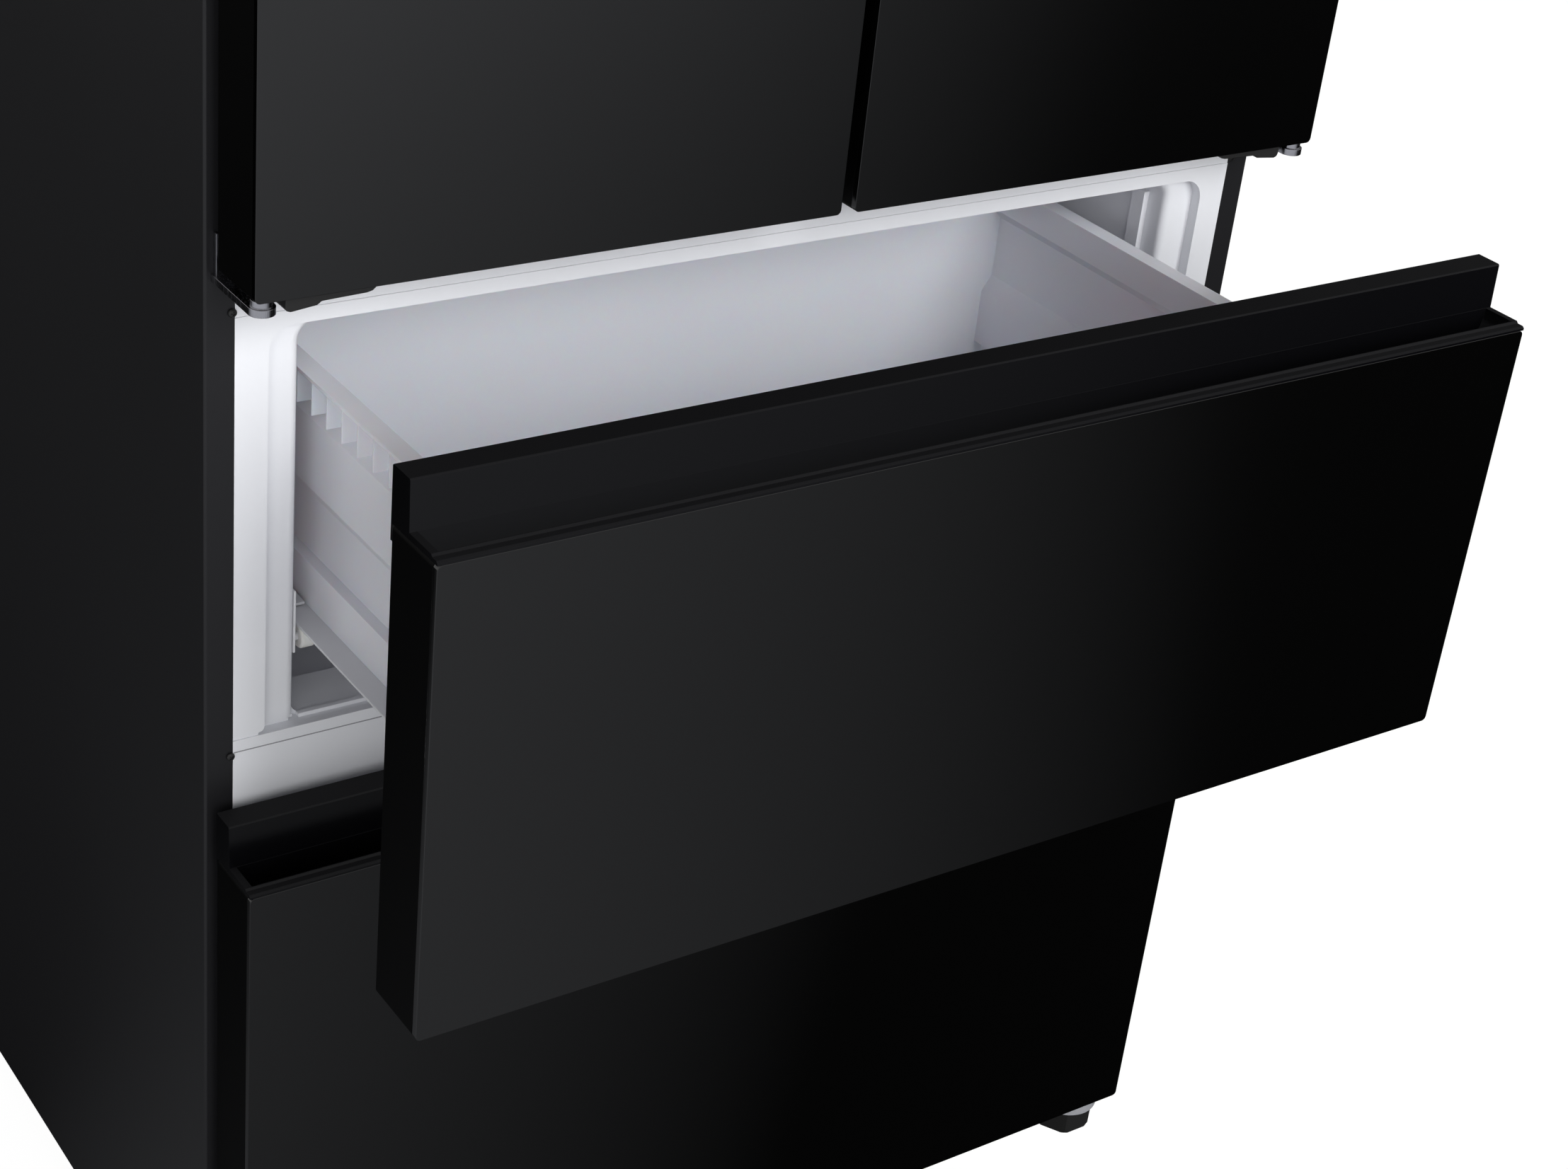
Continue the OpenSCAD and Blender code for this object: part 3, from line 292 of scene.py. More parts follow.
def rolledMetalGroup(s):
    # drawn-out streaks of rolled or brushed sheet, with faint crystals of zinc
    group, given, result = newGroup("rolledMetal", [
        ("Streak Scale", "NodeSocketFloat", 240.0),
        ("Spangle Scale", "NodeSocketFloat", 60.0),
        ("Spangle Amount", "NodeSocketFloat", 0.12),
        ("Roughness", "NodeSocketFloat", 0.35),
        ("Color", "NodeSocketColor", (0.7, 0.7, 0.72, 1)),
    ], effectOutputs)
    where = group.nodes.new("ShaderNodeTexCoord")
    stretch = group.nodes.new("ShaderNodeMapping")
    stretch.inputs["Scale"].default_value = (1, 1, s["streakStretch"])
    group.links.new(where.outputs["Object"], stretch.inputs["Vector"])
    streak = noise(group, stretch.outputs[0], given.outputs["Streak Scale"], s["streakDetail"])
    spangle = group.nodes.new("ShaderNodeTexVoronoi")
    group.links.new(where.outputs["Object"], spangle.inputs["Vector"])
    group.links.new(given.outputs["Spangle Scale"], spangle.inputs["Scale"])
    grey = group.nodes.new("ShaderNodeRGBToBW")
    group.links.new(spangle.outputs["Color"], grey.inputs[0])
    centred = worked(group, "SUBTRACT", grey.outputs[0], 0.5)
    rough = worked(group, "MULTIPLY_ADD", streak, s["streakRoughness"], given.outputs["Roughness"])
    return finishGroup(group, result, toned(group, given, centred, "Spangle Amount"), rough, streak)


mouldedGrain = mouldedGrainGroup(patternSettings)
rolledMetal = rolledMetalGroup(patternSettings)


# finishes

def makeFinish(name, group, values, bump=0.0, **sockets):
    material = bpy.data.materials.new(name)
    material.use_nodes = True
    tree = material.node_tree
    shader = tree.nodes["Principled BSDF"]
    effect = tree.nodes.new("ShaderNodeGroup")
    effect.node_tree = group
    for label, value in values.items():
        effect.inputs[label].default_value = value
    tree.links.new(effect.outputs["Color"], shader.inputs["Base Color"])
    tree.links.new(effect.outputs["Roughness"], shader.inputs["Roughness"])
    if bump:
        raised = tree.nodes.new("ShaderNodeBump")
        raised.inputs["Distance"].default_value = bump
        raised.inputs["Strength"].default_value = 1
        tree.links.new(effect.outputs["Height"], raised.inputs["Height"])
        tree.links.new(raised.outputs[0], shader.inputs["Normal"])
    for label, value in sockets.items():  # constants by the sockets' own names
        shader.inputs[label.replace("_", " ")].default_value = value
    return material


def darkGrey(level, blue=1.0):
    return (level, level, level * blue, 1)


finishSettings = {
    "caseSteel": dict(group=mouldedGrain, values={
        "Color": darkGrey(0.010, blue=1.12), "Roughness": 0.42, "Roughness Change": 0.05,
        "Grain Scale": 1400, "Tone Amount": 0.10}, bump=0.00002, Specular_IOR_Level=0.28),
    "frontGlass": dict(group=mouldedGrain, values={
        "Color": darkGrey(0.0012), "Roughness": 0.15, "Roughness Change": 0.02, "Tone Scale": 1.5},
        Specular_IOR_Level=0.45),
    "frontEdge": dict(group=mouldedGrain, values={
        "Color": darkGrey(0.0006), "Roughness": 0.46, "Grain Scale": 1500},
        bump=0.00002, Specular_IOR_Level=0.03),
    "gripTrim": dict(group=mouldedGrain, values={
        "Color": darkGrey(0.0024, blue=1.25), "Roughness": 0.19, "Top Dullness": 0.55,
        "Grain Scale": 1700},
        bump=0.00002, Specular_IOR_Level=0.17),
    "blackPlastic": dict(group=mouldedGrain, values={
        "Color": darkGrey(0.012), "Roughness": 0.5, "Grain Scale": 1300},
        bump=0.00004, Specular_IOR_Level=0.35),
    "linerPlastic": dict(group=mouldedGrain, values={
        "Color": (0.82, 0.83, 0.865, 1), "Roughness": 0.34, "Roughness Change": 0.06, "Grain Scale": 700,
        "Tone Amount": 0.03}, bump=0.00003),
    "binPlastic": dict(group=mouldedGrain, values={
        "Color": (0.865, 0.861, 0.92, 1), "Roughness": 0.42, "Grain Scale": 1200, "Tone Amount": 0.05,
        "Tone Scale": 9.0}, bump=0.00005, Subsurface_Weight=0.25, Subsurface_Scale=0.006),
    "clearPlastic": dict(group=mouldedGrain, values={
        "Color": (0.86, 0.89, 0.91, 1), "Roughness": 0.14, "Grain Scale": 500, "Tone Amount": 0.02},
        Alpha=0.42),
    "shelfGlass": dict(group=mouldedGrain, values={
        "Color": (0.78, 0.90, 0.86, 1), "Roughness": 0.04, "Tone Amount": 0.02}, Alpha=0.35),
    "sealRubber": dict(group=mouldedGrain, values={
        "Color": (0.30, 0.305, 0.32, 1), "Roughness": 0.62, "Grain Scale": 900}, bump=0.00004),
    "zincPlate": dict(group=rolledMetal, values={
        "Color": (0.56, 0.57, 0.60, 1), "Roughness": 0.26, "Spangle Scale": 90},
        bump=0.00002, Metallic=1.0),
    "dullZinc": dict(group=rolledMetal, values={
        "Color": (0.36, 0.365, 0.39, 1), "Roughness": 0.42, "Spangle Scale": 120, "Spangle Amount": 0.06},
        bump=0.00002, Metallic=0.3),
    "hingeSteel": dict(group=rolledMetal, values={
        "Color": (0.30, 0.30, 0.32, 1), "Roughness": 0.16, "Spangle Scale": 220, "Spangle Amount": 0.08,
        "Streak Scale": 900}, bump=0.00010, Metallic=1.0),
    "brightSteel": dict(group=rolledMetal, values={
        "Color": (0.62, 0.62, 0.64, 1), "Roughness": 0.16, "Spangle Scale": 260, "Spangle Amount": 0.05},
        bump=0.00001, Metallic=1.0),
    "backSteel": dict(group=rolledMetal, values={
        "Color": (0.50, 0.51, 0.53, 1), "Roughness": 0.40, "Spangle Scale": 45, "Spangle Amount": 0.22},
        bump=0.00002, Metallic=1.0),
    "finMetal": dict(group=rolledMetal, values={
        "Color": (0.66, 0.67, 0.69, 1), "Roughness": 0.30}, bump=0.00002, Metallic=1.0),
    "copperTube": dict(group=rolledMetal, values={
        "Color": (0.72, 0.36, 0.22, 1), "Roughness": 0.28, "Spangle Scale": 150, "Spangle Amount": 0.18},
        bump=0.00001, Metallic=1.0),
    "railPaint": dict(group=mouldedGrain, values={
        "Color": (0.76, 0.765, 0.79, 1), "Roughness": 0.32, "Grain Scale": 1100}, bump=0.00003),
    "wheelNylon": dict(group=mouldedGrain, values={
        "Color": (0.76, 0.76, 0.74, 1), "Roughness": 0.46, "Grain Scale": 1300}, bump=0.00004,
        Subsurface_Weight=0.1, Subsurface_Scale=0.002),
    "foamCore": dict(group=mouldedGrain, values={
        "Color": (0.78, 0.66, 0.34, 1), "Roughness": 0.8, "Grain Scale": 500}, bump=0.0004),
    "enamel": dict(group=mouldedGrain, values={
        "Color": darkGrey(0.012), "Roughness": 0.20, "Grain Scale": 300}, bump=0.00006, Coat_Weight=0.5),
}
finishes = {name: makeFinish(name, **settings) for name, settings in finishSettings.items()}
print("finishes made:", len(finishes))

finishOf = {
    "outer_case": "caseSteel", "insulation": "foamCore", "back_panel": "backSteel",
    "fridge_liner": "linerPlastic", "upper_freezer_liner": "linerPlastic",
    "lower_freezer_liner": "linerPlastic", "rail_covers": "linerPlastic", "base_frame": "zincPlate",
    "foot_brackets": "dullZinc", "middle_hinges": "hingeSteel", "top_hinges": "hingeSteel",
    "hinge_covers": "blackPlastic", "glass_shelves": "shelfGlass", "shelf_trims": "linerPlastic",
    "crisper_drawers": "clearPlastic", "fridge_air_duct": "linerPlastic", "freezer_runners": "railPaint",
    "evaporator": "finMetal", "evaporator_cover": "linerPlastic", "compressor": "enamel",
    "condenser": "finMetal", "drain_pan": "blackPlastic", "machine_cover": "zincPlate",
    "evaporator_fan": "blackPlastic", "condenser_fan": "blackPlastic", "left_foot": "blackPlastic",
    "right_foot": "blackPlastic", "left_castor": "blackPlastic", "right_castor": "blackPlastic",
    "mullion_flap": "gripTrim",
}
for side in ("left", "right"):
    finishOf.update({side + "_door_glass": "frontGlass", side + "_door_body": "frontEdge",
                     side + "_door_inner": "linerPlastic", side + "_door_gasket": "sealRubber",
                     side + "_door_bins": "clearPlastic", side + "_closer": "blackPlastic"})
for drawer in ("upper", "lower"):
    finishOf.update({drawer + "_glass": "frontGlass", drawer + "_body": "frontEdge",
                     drawer + "_grip": "gripTrim", drawer + "_inner": "linerPlastic",
                     drawer + "_gasket": "sealRubber", drawer + "_rails": "railPaint",
                     drawer + "_bin": "binPlastic", drawer + "_front_rollers": "wheelNylon",
                     drawer + "_rear_wheels": "wheelNylon"})
for name, node in cadNodes.items():
    material = finishes[finishOf[name]]
    if not node.data.materials:
        node.data.materials.append(material)
    for index in range(len(node.data.materials)):
        node.data.materials[index] = material
print("finishes given to the frame's nodes")


# pieces: how each is finished and tied to the frame

record = frame["record"]
slotOf = {part["node"]: part["material_slot"] for part in record["subparts"]}
bodyOf = {node: body for body, nodes in record["behaviour"]["bodies"].items() for node in nodes}


def camel(name):
    first, *others = name.split("_")
    return first + "".join(word.capitalize() for word in others)


def newPiece(name, mesh):
    piece = bpy.data.objects.new(name, mesh)
    scene.collection.objects.link(piece)
    return piece


def lofted(name, rings, closed):
    # faces from ring to ring of points; where the row of rings is open, both ends get a cap
    work = bmesh.new()
    loops = [[work.verts.new(point) for point in ring] for ring in rings]
    for first, second in zip(loops, loops[1:] + (loops[:1] if closed else [])):
        for at in range(len(first)):
            after = (at + 1) % len(first)
            work.faces.new((first[at], first[after], second[after], second[at]))
    if not closed:
        work.faces.new(loops[0])
        work.faces.new(loops[-1])
    bmesh.ops.recalc_face_normals(work, faces=work.faces)
    mesh = bpy.data.meshes.new(name)
    work.to_mesh(mesh)
    work.free()
    return mesh


def bakePiece(piece, finish, smoothAngle):
    # what the modifiers give becomes the piece's own plain mesh; angle 0 keeps its shading
    graph = bpy.context.evaluated_depsgraph_get()
    mesh = bpy.data.meshes.new_from_object(piece.evaluated_get(graph), depsgraph=graph)
    piece.modifiers.clear()
    piece.data = mesh
    mesh.materials.clear()
    mesh.materials.append(finishes[finish])
    mesh.polygons.foreach_set("material_index", [0] * len(mesh.polygons))
    if smoothAngle:
        mesh.shade_smooth()
        mesh.set_sharp_from_angle(angle=math.radians(smoothAngle))
    return piece


def tie(piece, body, slot, *nodes):
    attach(piece, body)
    if nodes:
        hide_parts(*nodes)
    return piece


# rounded edges on sheet, glass and moulded parts

softenSettings = {
    "weld": 0.000008,  # metres between corners that count as one
    "flat": 0.8,  # degrees between triangles of one face
    "sharperThan": 33.0,  # degrees
    "segments": 2,
    "widths": {  # millimetres
        "outer_case": 0.9, "back_panel": 0.4, "fridge_liner": 0.7, "upper_freezer_liner": 0.7,
        "lower_freezer_liner": 0.7, "rail_covers": 0.7, "base_frame": 0.3, "foot_brackets": 0.4,
        "middle_hinges": 0.5, "top_hinges": 0.5, "hinge_covers": 0.8, "glass_shelves": 0.6,
        "shelf_trims": 0.6, "crisper_drawers": 0.9, "fridge_air_duct": 0.4, "freezer_runners": 0.3,
        "evaporator_cover": 0.5, "compressor": 0.8, "drain_pan": 0.5, "left_castor": 0.4,
        "right_castor": 0.4, "mullion_flap": 0.6,
    },
}
for side in ("left", "right"):
    softenSettings["widths"].update({
        side + "_door_glass": 0.3, side + "_door_body": 0.6, side + "_door_inner": 1.0,
        side + "_door_bins": 0.6, side + "_closer": 0.6})
for drawer in ("upper", "lower"):
    softenSettings["widths"].update({
        drawer + "_glass": 0.3, drawer + "_body": 0.6, drawer + "_grip": 0.6, drawer + "_inner": 0.8,
        drawer + "_rails": 0.4, drawer + "_bin": 0.5, drawer + "_front_rollers": 0.3,
        drawer + "_rear_wheels": 0.3})


def joinedCopy(name, s):
    # a node's mesh with its loose triangles joined into whole faces
    mesh = bpy.data.meshes.new(name)
    work = bmesh.new()
    work.from_mesh(cadNodes[name].data)
    bmesh.ops.remove_doubles(work, verts=work.verts, dist=s["weld"])
    bmesh.ops.dissolve_limit(work, angle_limit=math.radians(s["flat"]), verts=work.verts,
                             edges=work.edges)
    work.to_mesh(mesh)
    work.free()
    for extra in ("custom_normal", "sharp_edge", "sharp_face"):
        if extra in mesh.attributes:
            mesh.attributes.remove(mesh.attributes[extra])
    return mesh


foldSettings = {  # metres
    "from": 0.005,  # outer radius of the case's front folds
    "to": 0.0016,
    "slack": 0.00001,
}


def sharperFolds(mesh, s):
    # the case's front edges are folded tighter than the plain solid has them
    low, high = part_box("outer_case")
    less = s["from"] - s["to"]
    for corner in mesh.vertices:
        way = 1 if corner.co.x > 0 else -1
        middle = Vector((way * (high.x - s["from"]), low.y + s["from"]))
        out = Vector((corner.co.x, corner.co.y)) - middle
        if out.x * way > -s["slack"] and out.y < s["slack"]:
            moved = middle + Vector((way * less, -less)) + out.normalized() * (out.length - less)
            corner.co.x, corner.co.y = moved


def softened(name, width, s):
    piece = newPiece(camel(name), joinedCopy(name, s))
    if name == "outer_case":
        sharperFolds(piece.data, foldSettings)
    piece.data.shade_smooth()
    bevel = piece.modifiers.new("roundedEdge", "BEVEL")
    bevel.width = width / 1000
    bevel.segments = s["segments"]
    bevel.limit_method = "ANGLE"
    bevel.angle_limit = math.radians(s["sharperThan"])
    bevel.use_clamp_overlap = True
    bevel.harden_normals = False
    weigh = piece.modifiers.new("evenFaces", "WEIGHTED_NORMAL")
    weigh.keep_sharp = True
    bakePiece(piece, finishOf[name], 0)
    return tie(piece, bodyOf[name], slotOf[name], name)


for name, width in softenSettings["widths"].items():
    softened(name, width, softenSettings)
print("edges rounded on", len(softenSettings["widths"]), "pieces")


# door and drawer seals: hollow bellows with a flat magnet chamber, corners welded

sealSettings = {
    "across": 12.0,  # millimetres, as the node's band
    "profile": [  # across from the middle, then from the door (0) to the case (1)
        (-5.9, 0.0), (-5.9, 0.10), (-3.4, 0.22), (-5.3, 0.36), (-3.8, 0.47), (-5.8, 0.58), (-5.9, 0.88),
        (-5.1, 1.0), (5.1, 1.0), (5.9, 0.88), (5.8, 0.58), (3.2, 0.47), (5.3, 0.36), (3.2, 0.22),
        (5.9, 0.10), (5.9, 0.0)],
    "cornerSteps": 6,
    "cornerRadius": 5.0,
    "cornerGrowth": 0.35,  # of the way across
    "smooth": 28,  # degrees
}


def buildSeal(name, s):
    low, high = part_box(name)
    middle = s["across"] / 2000
    rings = []
    for across, reach in s["profile"]:
        out = across / 1000 - middle
        radius = s["cornerRadius"] / 1000 + s["cornerGrowth"] * (across / 1000)
        left, right, bottom, top = low.x - out, high.x + out, low.z - out, high.z + out
        y = low.y + (high.y - low.y) * reach
        corners = ((right - radius, bottom + radius, -90), (right - radius, top - radius, 0),
                   (left + radius, top - radius, 90), (left + radius, bottom + radius, 180))
        ring = []
        for x, z, start in corners:
            for step in range(s["cornerSteps"] + 1):
                turn = math.radians(start + 90 * step / s["cornerSteps"])
                ring.append((x + radius * math.cos(turn), y, z + radius * math.sin(turn)))
        rings.append(ring)
    piece = newPiece(camel(name), lofted(name, rings, True))
    bakePiece(piece, finishOf[name], s["smooth"])
    return tie(piece, bodyOf[name], slotOf[name], name)


for name in ("left_door_gasket", "right_door_gasket", "upper_gasket", "lower_gasket"):
    buildSeal(name, sealSettings)
print("seals swept")


# levelling feet: a stud in a six-sided cap whose corners are eased at the sole

footShape = {  # metres
    "flats": 0.038,
    "cap": [(0.0, 0.0206), (0.003, 0.0218), (0.0165, 0.0222), (0.017, 0.0217)],  # height, radius
    "stud": 0.005,
    "around": 96,
    "smooth": 18,  # degrees
}


def buildFoot(name, s):
    low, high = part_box(name)
    middle = (low + high) / 2
    levels = [(z, radius, True) for z, radius in s["cap"]]
    levels += [(s["cap"][-1][0], s["stud"], False), (high.z, s["stud"], False)]
    sector = math.pi / 3
    rings = []
    for z, radius, sided in levels:
        ring = []
        for step in range(s["around"]):
            turn = 2 * math.pi * step / s["around"]
            flat = s["flats"] / 2 / math.cos((turn + sector / 2) % sector - sector / 2)
            reach = min(radius, flat) if sided else radius
            ring.append((middle.x + reach * math.sin(turn), middle.y + reach * math.cos(turn), z))
        rings.append(ring)
    piece = newPiece(camel(name), lofted(name, rings, False))
    bakePiece(piece, finishOf[name], s["smooth"])
    return tie(piece, bodyOf[name], slotOf[name], name)


for name in ("left_foot", "right_foot"):
    buildFoot(name, footShape)
print("feet built")


# geometry node trees

def newTree(name, inputs):
    tree = bpy.data.node_groups.new(name, "GeometryNodeTree")
    tree.interface.new_socket("Geometry", in_out="INPUT", socket_type="NodeSocketGeometry")
    for label, kind, value in inputs:
        socket = tree.interface.new_socket(label, in_out="INPUT", socket_type=kind)
        if value is not None:
            socket.default_value = value
    tree.interface.new_socket("Geometry", in_out="OUTPUT", socket_type="NodeSocketGeometry")
    return tree, tree.nodes.new("NodeGroupInput"), tree.nodes.new("NodeGroupOutput")


def endTree(tree, given, result, shape):
    # every tree ends in plain mesh with its finish
    real = tree.nodes.new("GeometryNodeRealizeInstances")
    tree.links.new(shape, real.inputs[0])
    coat = tree.nodes.new("GeometryNodeSetMaterial")
    tree.links.new(real.outputs[0], coat.inputs["Geometry"])
    tree.links.new(given.outputs["Finish"], coat.inputs["Material"])
    tree.links.new(coat.outputs[0], result.inputs[0])
    return tree


def vector3(tree, x, y, z):
    return feed(tree, tree.nodes.new("ShaderNodeCombineXYZ"), (x, y, z))


def placedBox(tree, size, place):
    box = tree.nodes.new("GeometryNodeMeshCube")
    tree.links.new(size, box.inputs["Size"])
    move = tree.nodes.new("GeometryNodeTransform")
    tree.links.new(box.outputs["Mesh"], move.inputs["Geometry"])
    tree.links.new(place, move.inputs["Translation"])
    return move.outputs[0]


headShape = {
    "segments": 20,
    "rings": 12,
    "cutter": 3.0,  # times the head, for the block that takes off its lower half
    "slotReach": 1.15,  # times the radius
    "slotTop": 1.05,  # times the height
}


def screwHeadTree(s):
    # a domed head with a cross recess on every point, turned to face along "facing"
    tree, given, result = newTree("screwHeads", [
        ("Radius", "NodeSocketFloat", 0.004), ("Height", "NodeSocketFloat", 0.002),
        ("Skirt", "NodeSocketFloat", 0.001), ("Slot", "NodeSocketFloat", 0.0009),
        ("Seed", "NodeSocketInt", 4), ("Finish", "NodeSocketMaterial", None)])
    radius, height, skirt = (given.outputs[n] for n in ("Radius", "Height", "Skirt"))
    ball = tree.nodes.new("GeometryNodeMeshUVSphere")
    ball.inputs["Segments"].default_value = s["segments"]
    ball.inputs["Rings"].default_value = s["rings"]
    ball.inputs["Radius"].default_value = 1
    dome = tree.nodes.new("GeometryNodeTransform")
    tree.links.new(ball.outputs["Mesh"], dome.inputs["Geometry"])
    tree.links.new(vector3(tree, radius, radius, height), dome.inputs["Scale"])
    tree.links.new(vector3(tree, 0, 0, skirt), dome.inputs["Translation"])
    wide = worked(tree, "MULTIPLY", radius, s["cutter"])
    deep = worked(tree, "MULTIPLY", height, s["cutter"])
    under = placedBox(tree, vector3(tree, wide, wide, deep),
                      vector3(tree, 0, 0, worked(tree, "MULTIPLY", height, -s["cutter"] / 2)))
    reach = worked(tree, "MULTIPLY", radius, s["slotReach"])
    top = worked(tree, "ADD", skirt, worked(tree, "MULTIPLY", height, s["slotTop"]))
    slot = given.outputs["Slot"]
    first = placedBox(tree, vector3(tree, reach, slot, height), vector3(tree, 0, 0, top))
    second = placedBox(tree, vector3(tree, slot, reach, height), vector3(tree, 0, 0, top))
    cut = tree.nodes.new("GeometryNodeMeshBoolean")
    cut.operation = "DIFFERENCE"
    cut.solver = "EXACT"
    tree.links.new(dome.outputs[0], cut.inputs["Mesh 1"])
    for other in (under, first, second):
        tree.links.new(other, cut.inputs["Mesh 2"])
    facing = tree.nodes.new("GeometryNodeInputNamedAttribute")
    facing.data_type = "FLOAT_VECTOR"
    facing.inputs["Name"].default_value = "facing"
    align = tree.nodes.new("FunctionNodeAlignRotationToVector")
    align.axis = "Z"
    tree.links.new(facing.outputs["Attribute"], align.inputs["Vector"])
    spin = tree.nodes.new("FunctionNodeRandomValue")
    spin.data_type = "FLOAT"
    spin.inputs[3].default_value = math.pi
    tree.links.new(given.outputs["Seed"], spin.inputs["Seed"])
    around = tree.nodes.new("FunctionNodeAxisAngleToRotation")
    around.inputs["Axis"].default_value = (0, 0, 1)
    tree.links.new(spin.outputs[1], around.inputs["Angle"])
    turned = tree.nodes.new("FunctionNodeRotateRotation")
    turned.rotation_space = "LOCAL"
    tree.links.new(align.outputs[0], turned.inputs["Rotation"])
    tree.links.new(around.outputs[0], turned.inputs["Rotate By"])
    spread = tree.nodes.new("GeometryNodeInstanceOnPoints")
    tree.links.new(given.outputs["Geometry"], spread.inputs["Points"])
    tree.links.new(cut.outputs["Mesh"], spread.inputs["Instance"])
    tree.links.new(turned.outputs[0], spread.inputs["Rotation"])
    return endTree(tree, given, result, spread.outputs[0])


def pipeTree(steps):
    # a round pipe along the piece's own polyline, its corners bent to a radius
    tree, given, result = newTree("bentPipe", [
        ("Radius", "NodeSocketFloat", 0.003), ("Bend", "NodeSocketFloat", 0.012),
        ("Sides", "NodeSocketInt", 12), ("Finish", "NodeSocketMaterial", None)])
    line = tree.nodes.new("GeometryNodeMeshToCurve")
    tree.links.new(given.outputs["Geometry"], line.inputs["Mesh"])
    bend = tree.nodes.new("GeometryNodeFilletCurve")
    bend.mode = "POLY"
    bend.inputs["Count"].default_value = steps
    bend.inputs["Limit Radius"].default_value = True
    tree.links.new(line.outputs["Curve"], bend.inputs["Curve"])
    tree.links.new(given.outputs["Bend"], bend.inputs["Radius"])
    ring = tree.nodes.new("GeometryNodeCurvePrimitiveCircle")
    tree.links.new(given.outputs["Sides"], ring.inputs["Resolution"])
    tree.links.new(given.outputs["Radius"], ring.inputs["Radius"])
    sweep = tree.nodes.new("GeometryNodeCurveToMesh")
    sweep.inputs["Fill Caps"].default_value = True
    tree.links.new(bend.outputs["Curve"], sweep.inputs["Curve"])
    tree.links.new(ring.outputs["Curve"], sweep.inputs["Profile Curve"])
    return endTree(tree, given, result, sweep.outputs["Mesh"])


def threadTree(steps):
    # a thread's crest wound round the z axis through the piece's first point
    tree, given, result = newTree("woundThread", [
        ("Radius", "NodeSocketFloat", 0.005), ("Pitch", "NodeSocketFloat", 0.0015),
        ("Height", "NodeSocketFloat", 0.02), ("Crest", "NodeSocketFloat", 0.0004),
        ("Finish", "NodeSocketMaterial", None)])
    wind = tree.nodes.new("GeometryNodeCurveSpiral")
    wind.inputs["Resolution"].default_value = steps
    tree.links.new(worked(tree, "DIVIDE", given.outputs["Height"], given.outputs["Pitch"]),
                   wind.inputs["Rotations"])
    tree.links.new(given.outputs["Radius"], wind.inputs["Start Radius"])
    tree.links.new(given.outputs["Radius"], wind.inputs["End Radius"])
    tree.links.new(given.outputs["Height"], wind.inputs["Height"])
    crest = tree.nodes.new("GeometryNodeCurvePrimitiveCircle")
    crest.inputs["Resolution"].default_value = 4
    tree.links.new(given.outputs["Crest"], crest.inputs["Radius"])
    sweep = tree.nodes.new("GeometryNodeCurveToMesh")
    sweep.inputs["Fill Caps"].default_value = True
    tree.links.new(wind.outputs["Curve"], sweep.inputs["Curve"])
    tree.links.new(crest.outputs["Curve"], sweep.inputs["Profile Curve"])
    spread = tree.nodes.new("GeometryNodeInstanceOnPoints")
    tree.links.new(given.outputs["Geometry"], spread.inputs["Points"])
    tree.links.new(sweep.outputs["Mesh"], spread.inputs["Instance"])
    return endTree(tree, given, result, spread.outputs[0])


screwHeads = screwHeadTree(headShape)
bentPipe = pipeTree(6)
woundThread = threadTree(20)


def drawn(name, points, edges=()):
    mesh = bpy.data.meshes.new(name)
    mesh.from_pydata(points, edges, [])
    return mesh


def grown(name, mesh, tree, values, finish, body, slot, smoothAngle=30):
    # a tree grows the piece on its mesh, with the tree's own inputs set by name
    piece = newPiece(name, mesh)
    modifier = piece.modifiers.new(name, "NODES")
    modifier.node_group = tree
    values = dict(values, Finish=finishes[finish])
    for socket in tree.interface.items_tree:
        if socket.in_out == "INPUT" and socket.name in values:
            modifier[socket.identifier] = values[socket.name]
    bakePiece(piece, finish, smoothAngle)
    return tie(piece, body, slot)


# screws, each set down where a straight line meets its part

castTrees = {}


def meets(name, start, towards):
    # where a line from start first meets the node, and the surface's own direction there
    if name not in castTrees:
        mesh = cadNodes[name].data
        castTrees[name] = BVHTree.FromPolygons([v.co.copy() for v in mesh.vertices],
                                               [list(p.vertices) for p in mesh.polygons])
    place, normal = castTrees[name].ray_cast(Vector(start), Vector(towards))[:2]
    if place is None:
        raise ValueError(name + " isn't met from " + str(start))
    return place, normal


screwSlot = 0.24  # width of the recess over the head's radius
screwSeed = 7


def screwSet(name, spots, size, finish, body, slot):
    mesh = drawn(name, [place for place, normal in spots])
    facing = mesh.attributes.new("facing", "FLOAT_VECTOR", "POINT")
    for point, (place, normal) in zip(facing.data, spots):
        point.vector = normal
    radius, height, skirt = size
    return grown(name, mesh, screwHeads, {
        "Radius": radius, "Height": height, "Skirt": skirt, "Slot": radius * screwSlot,
        "Seed": screwSeed},
        finish, body, slot)


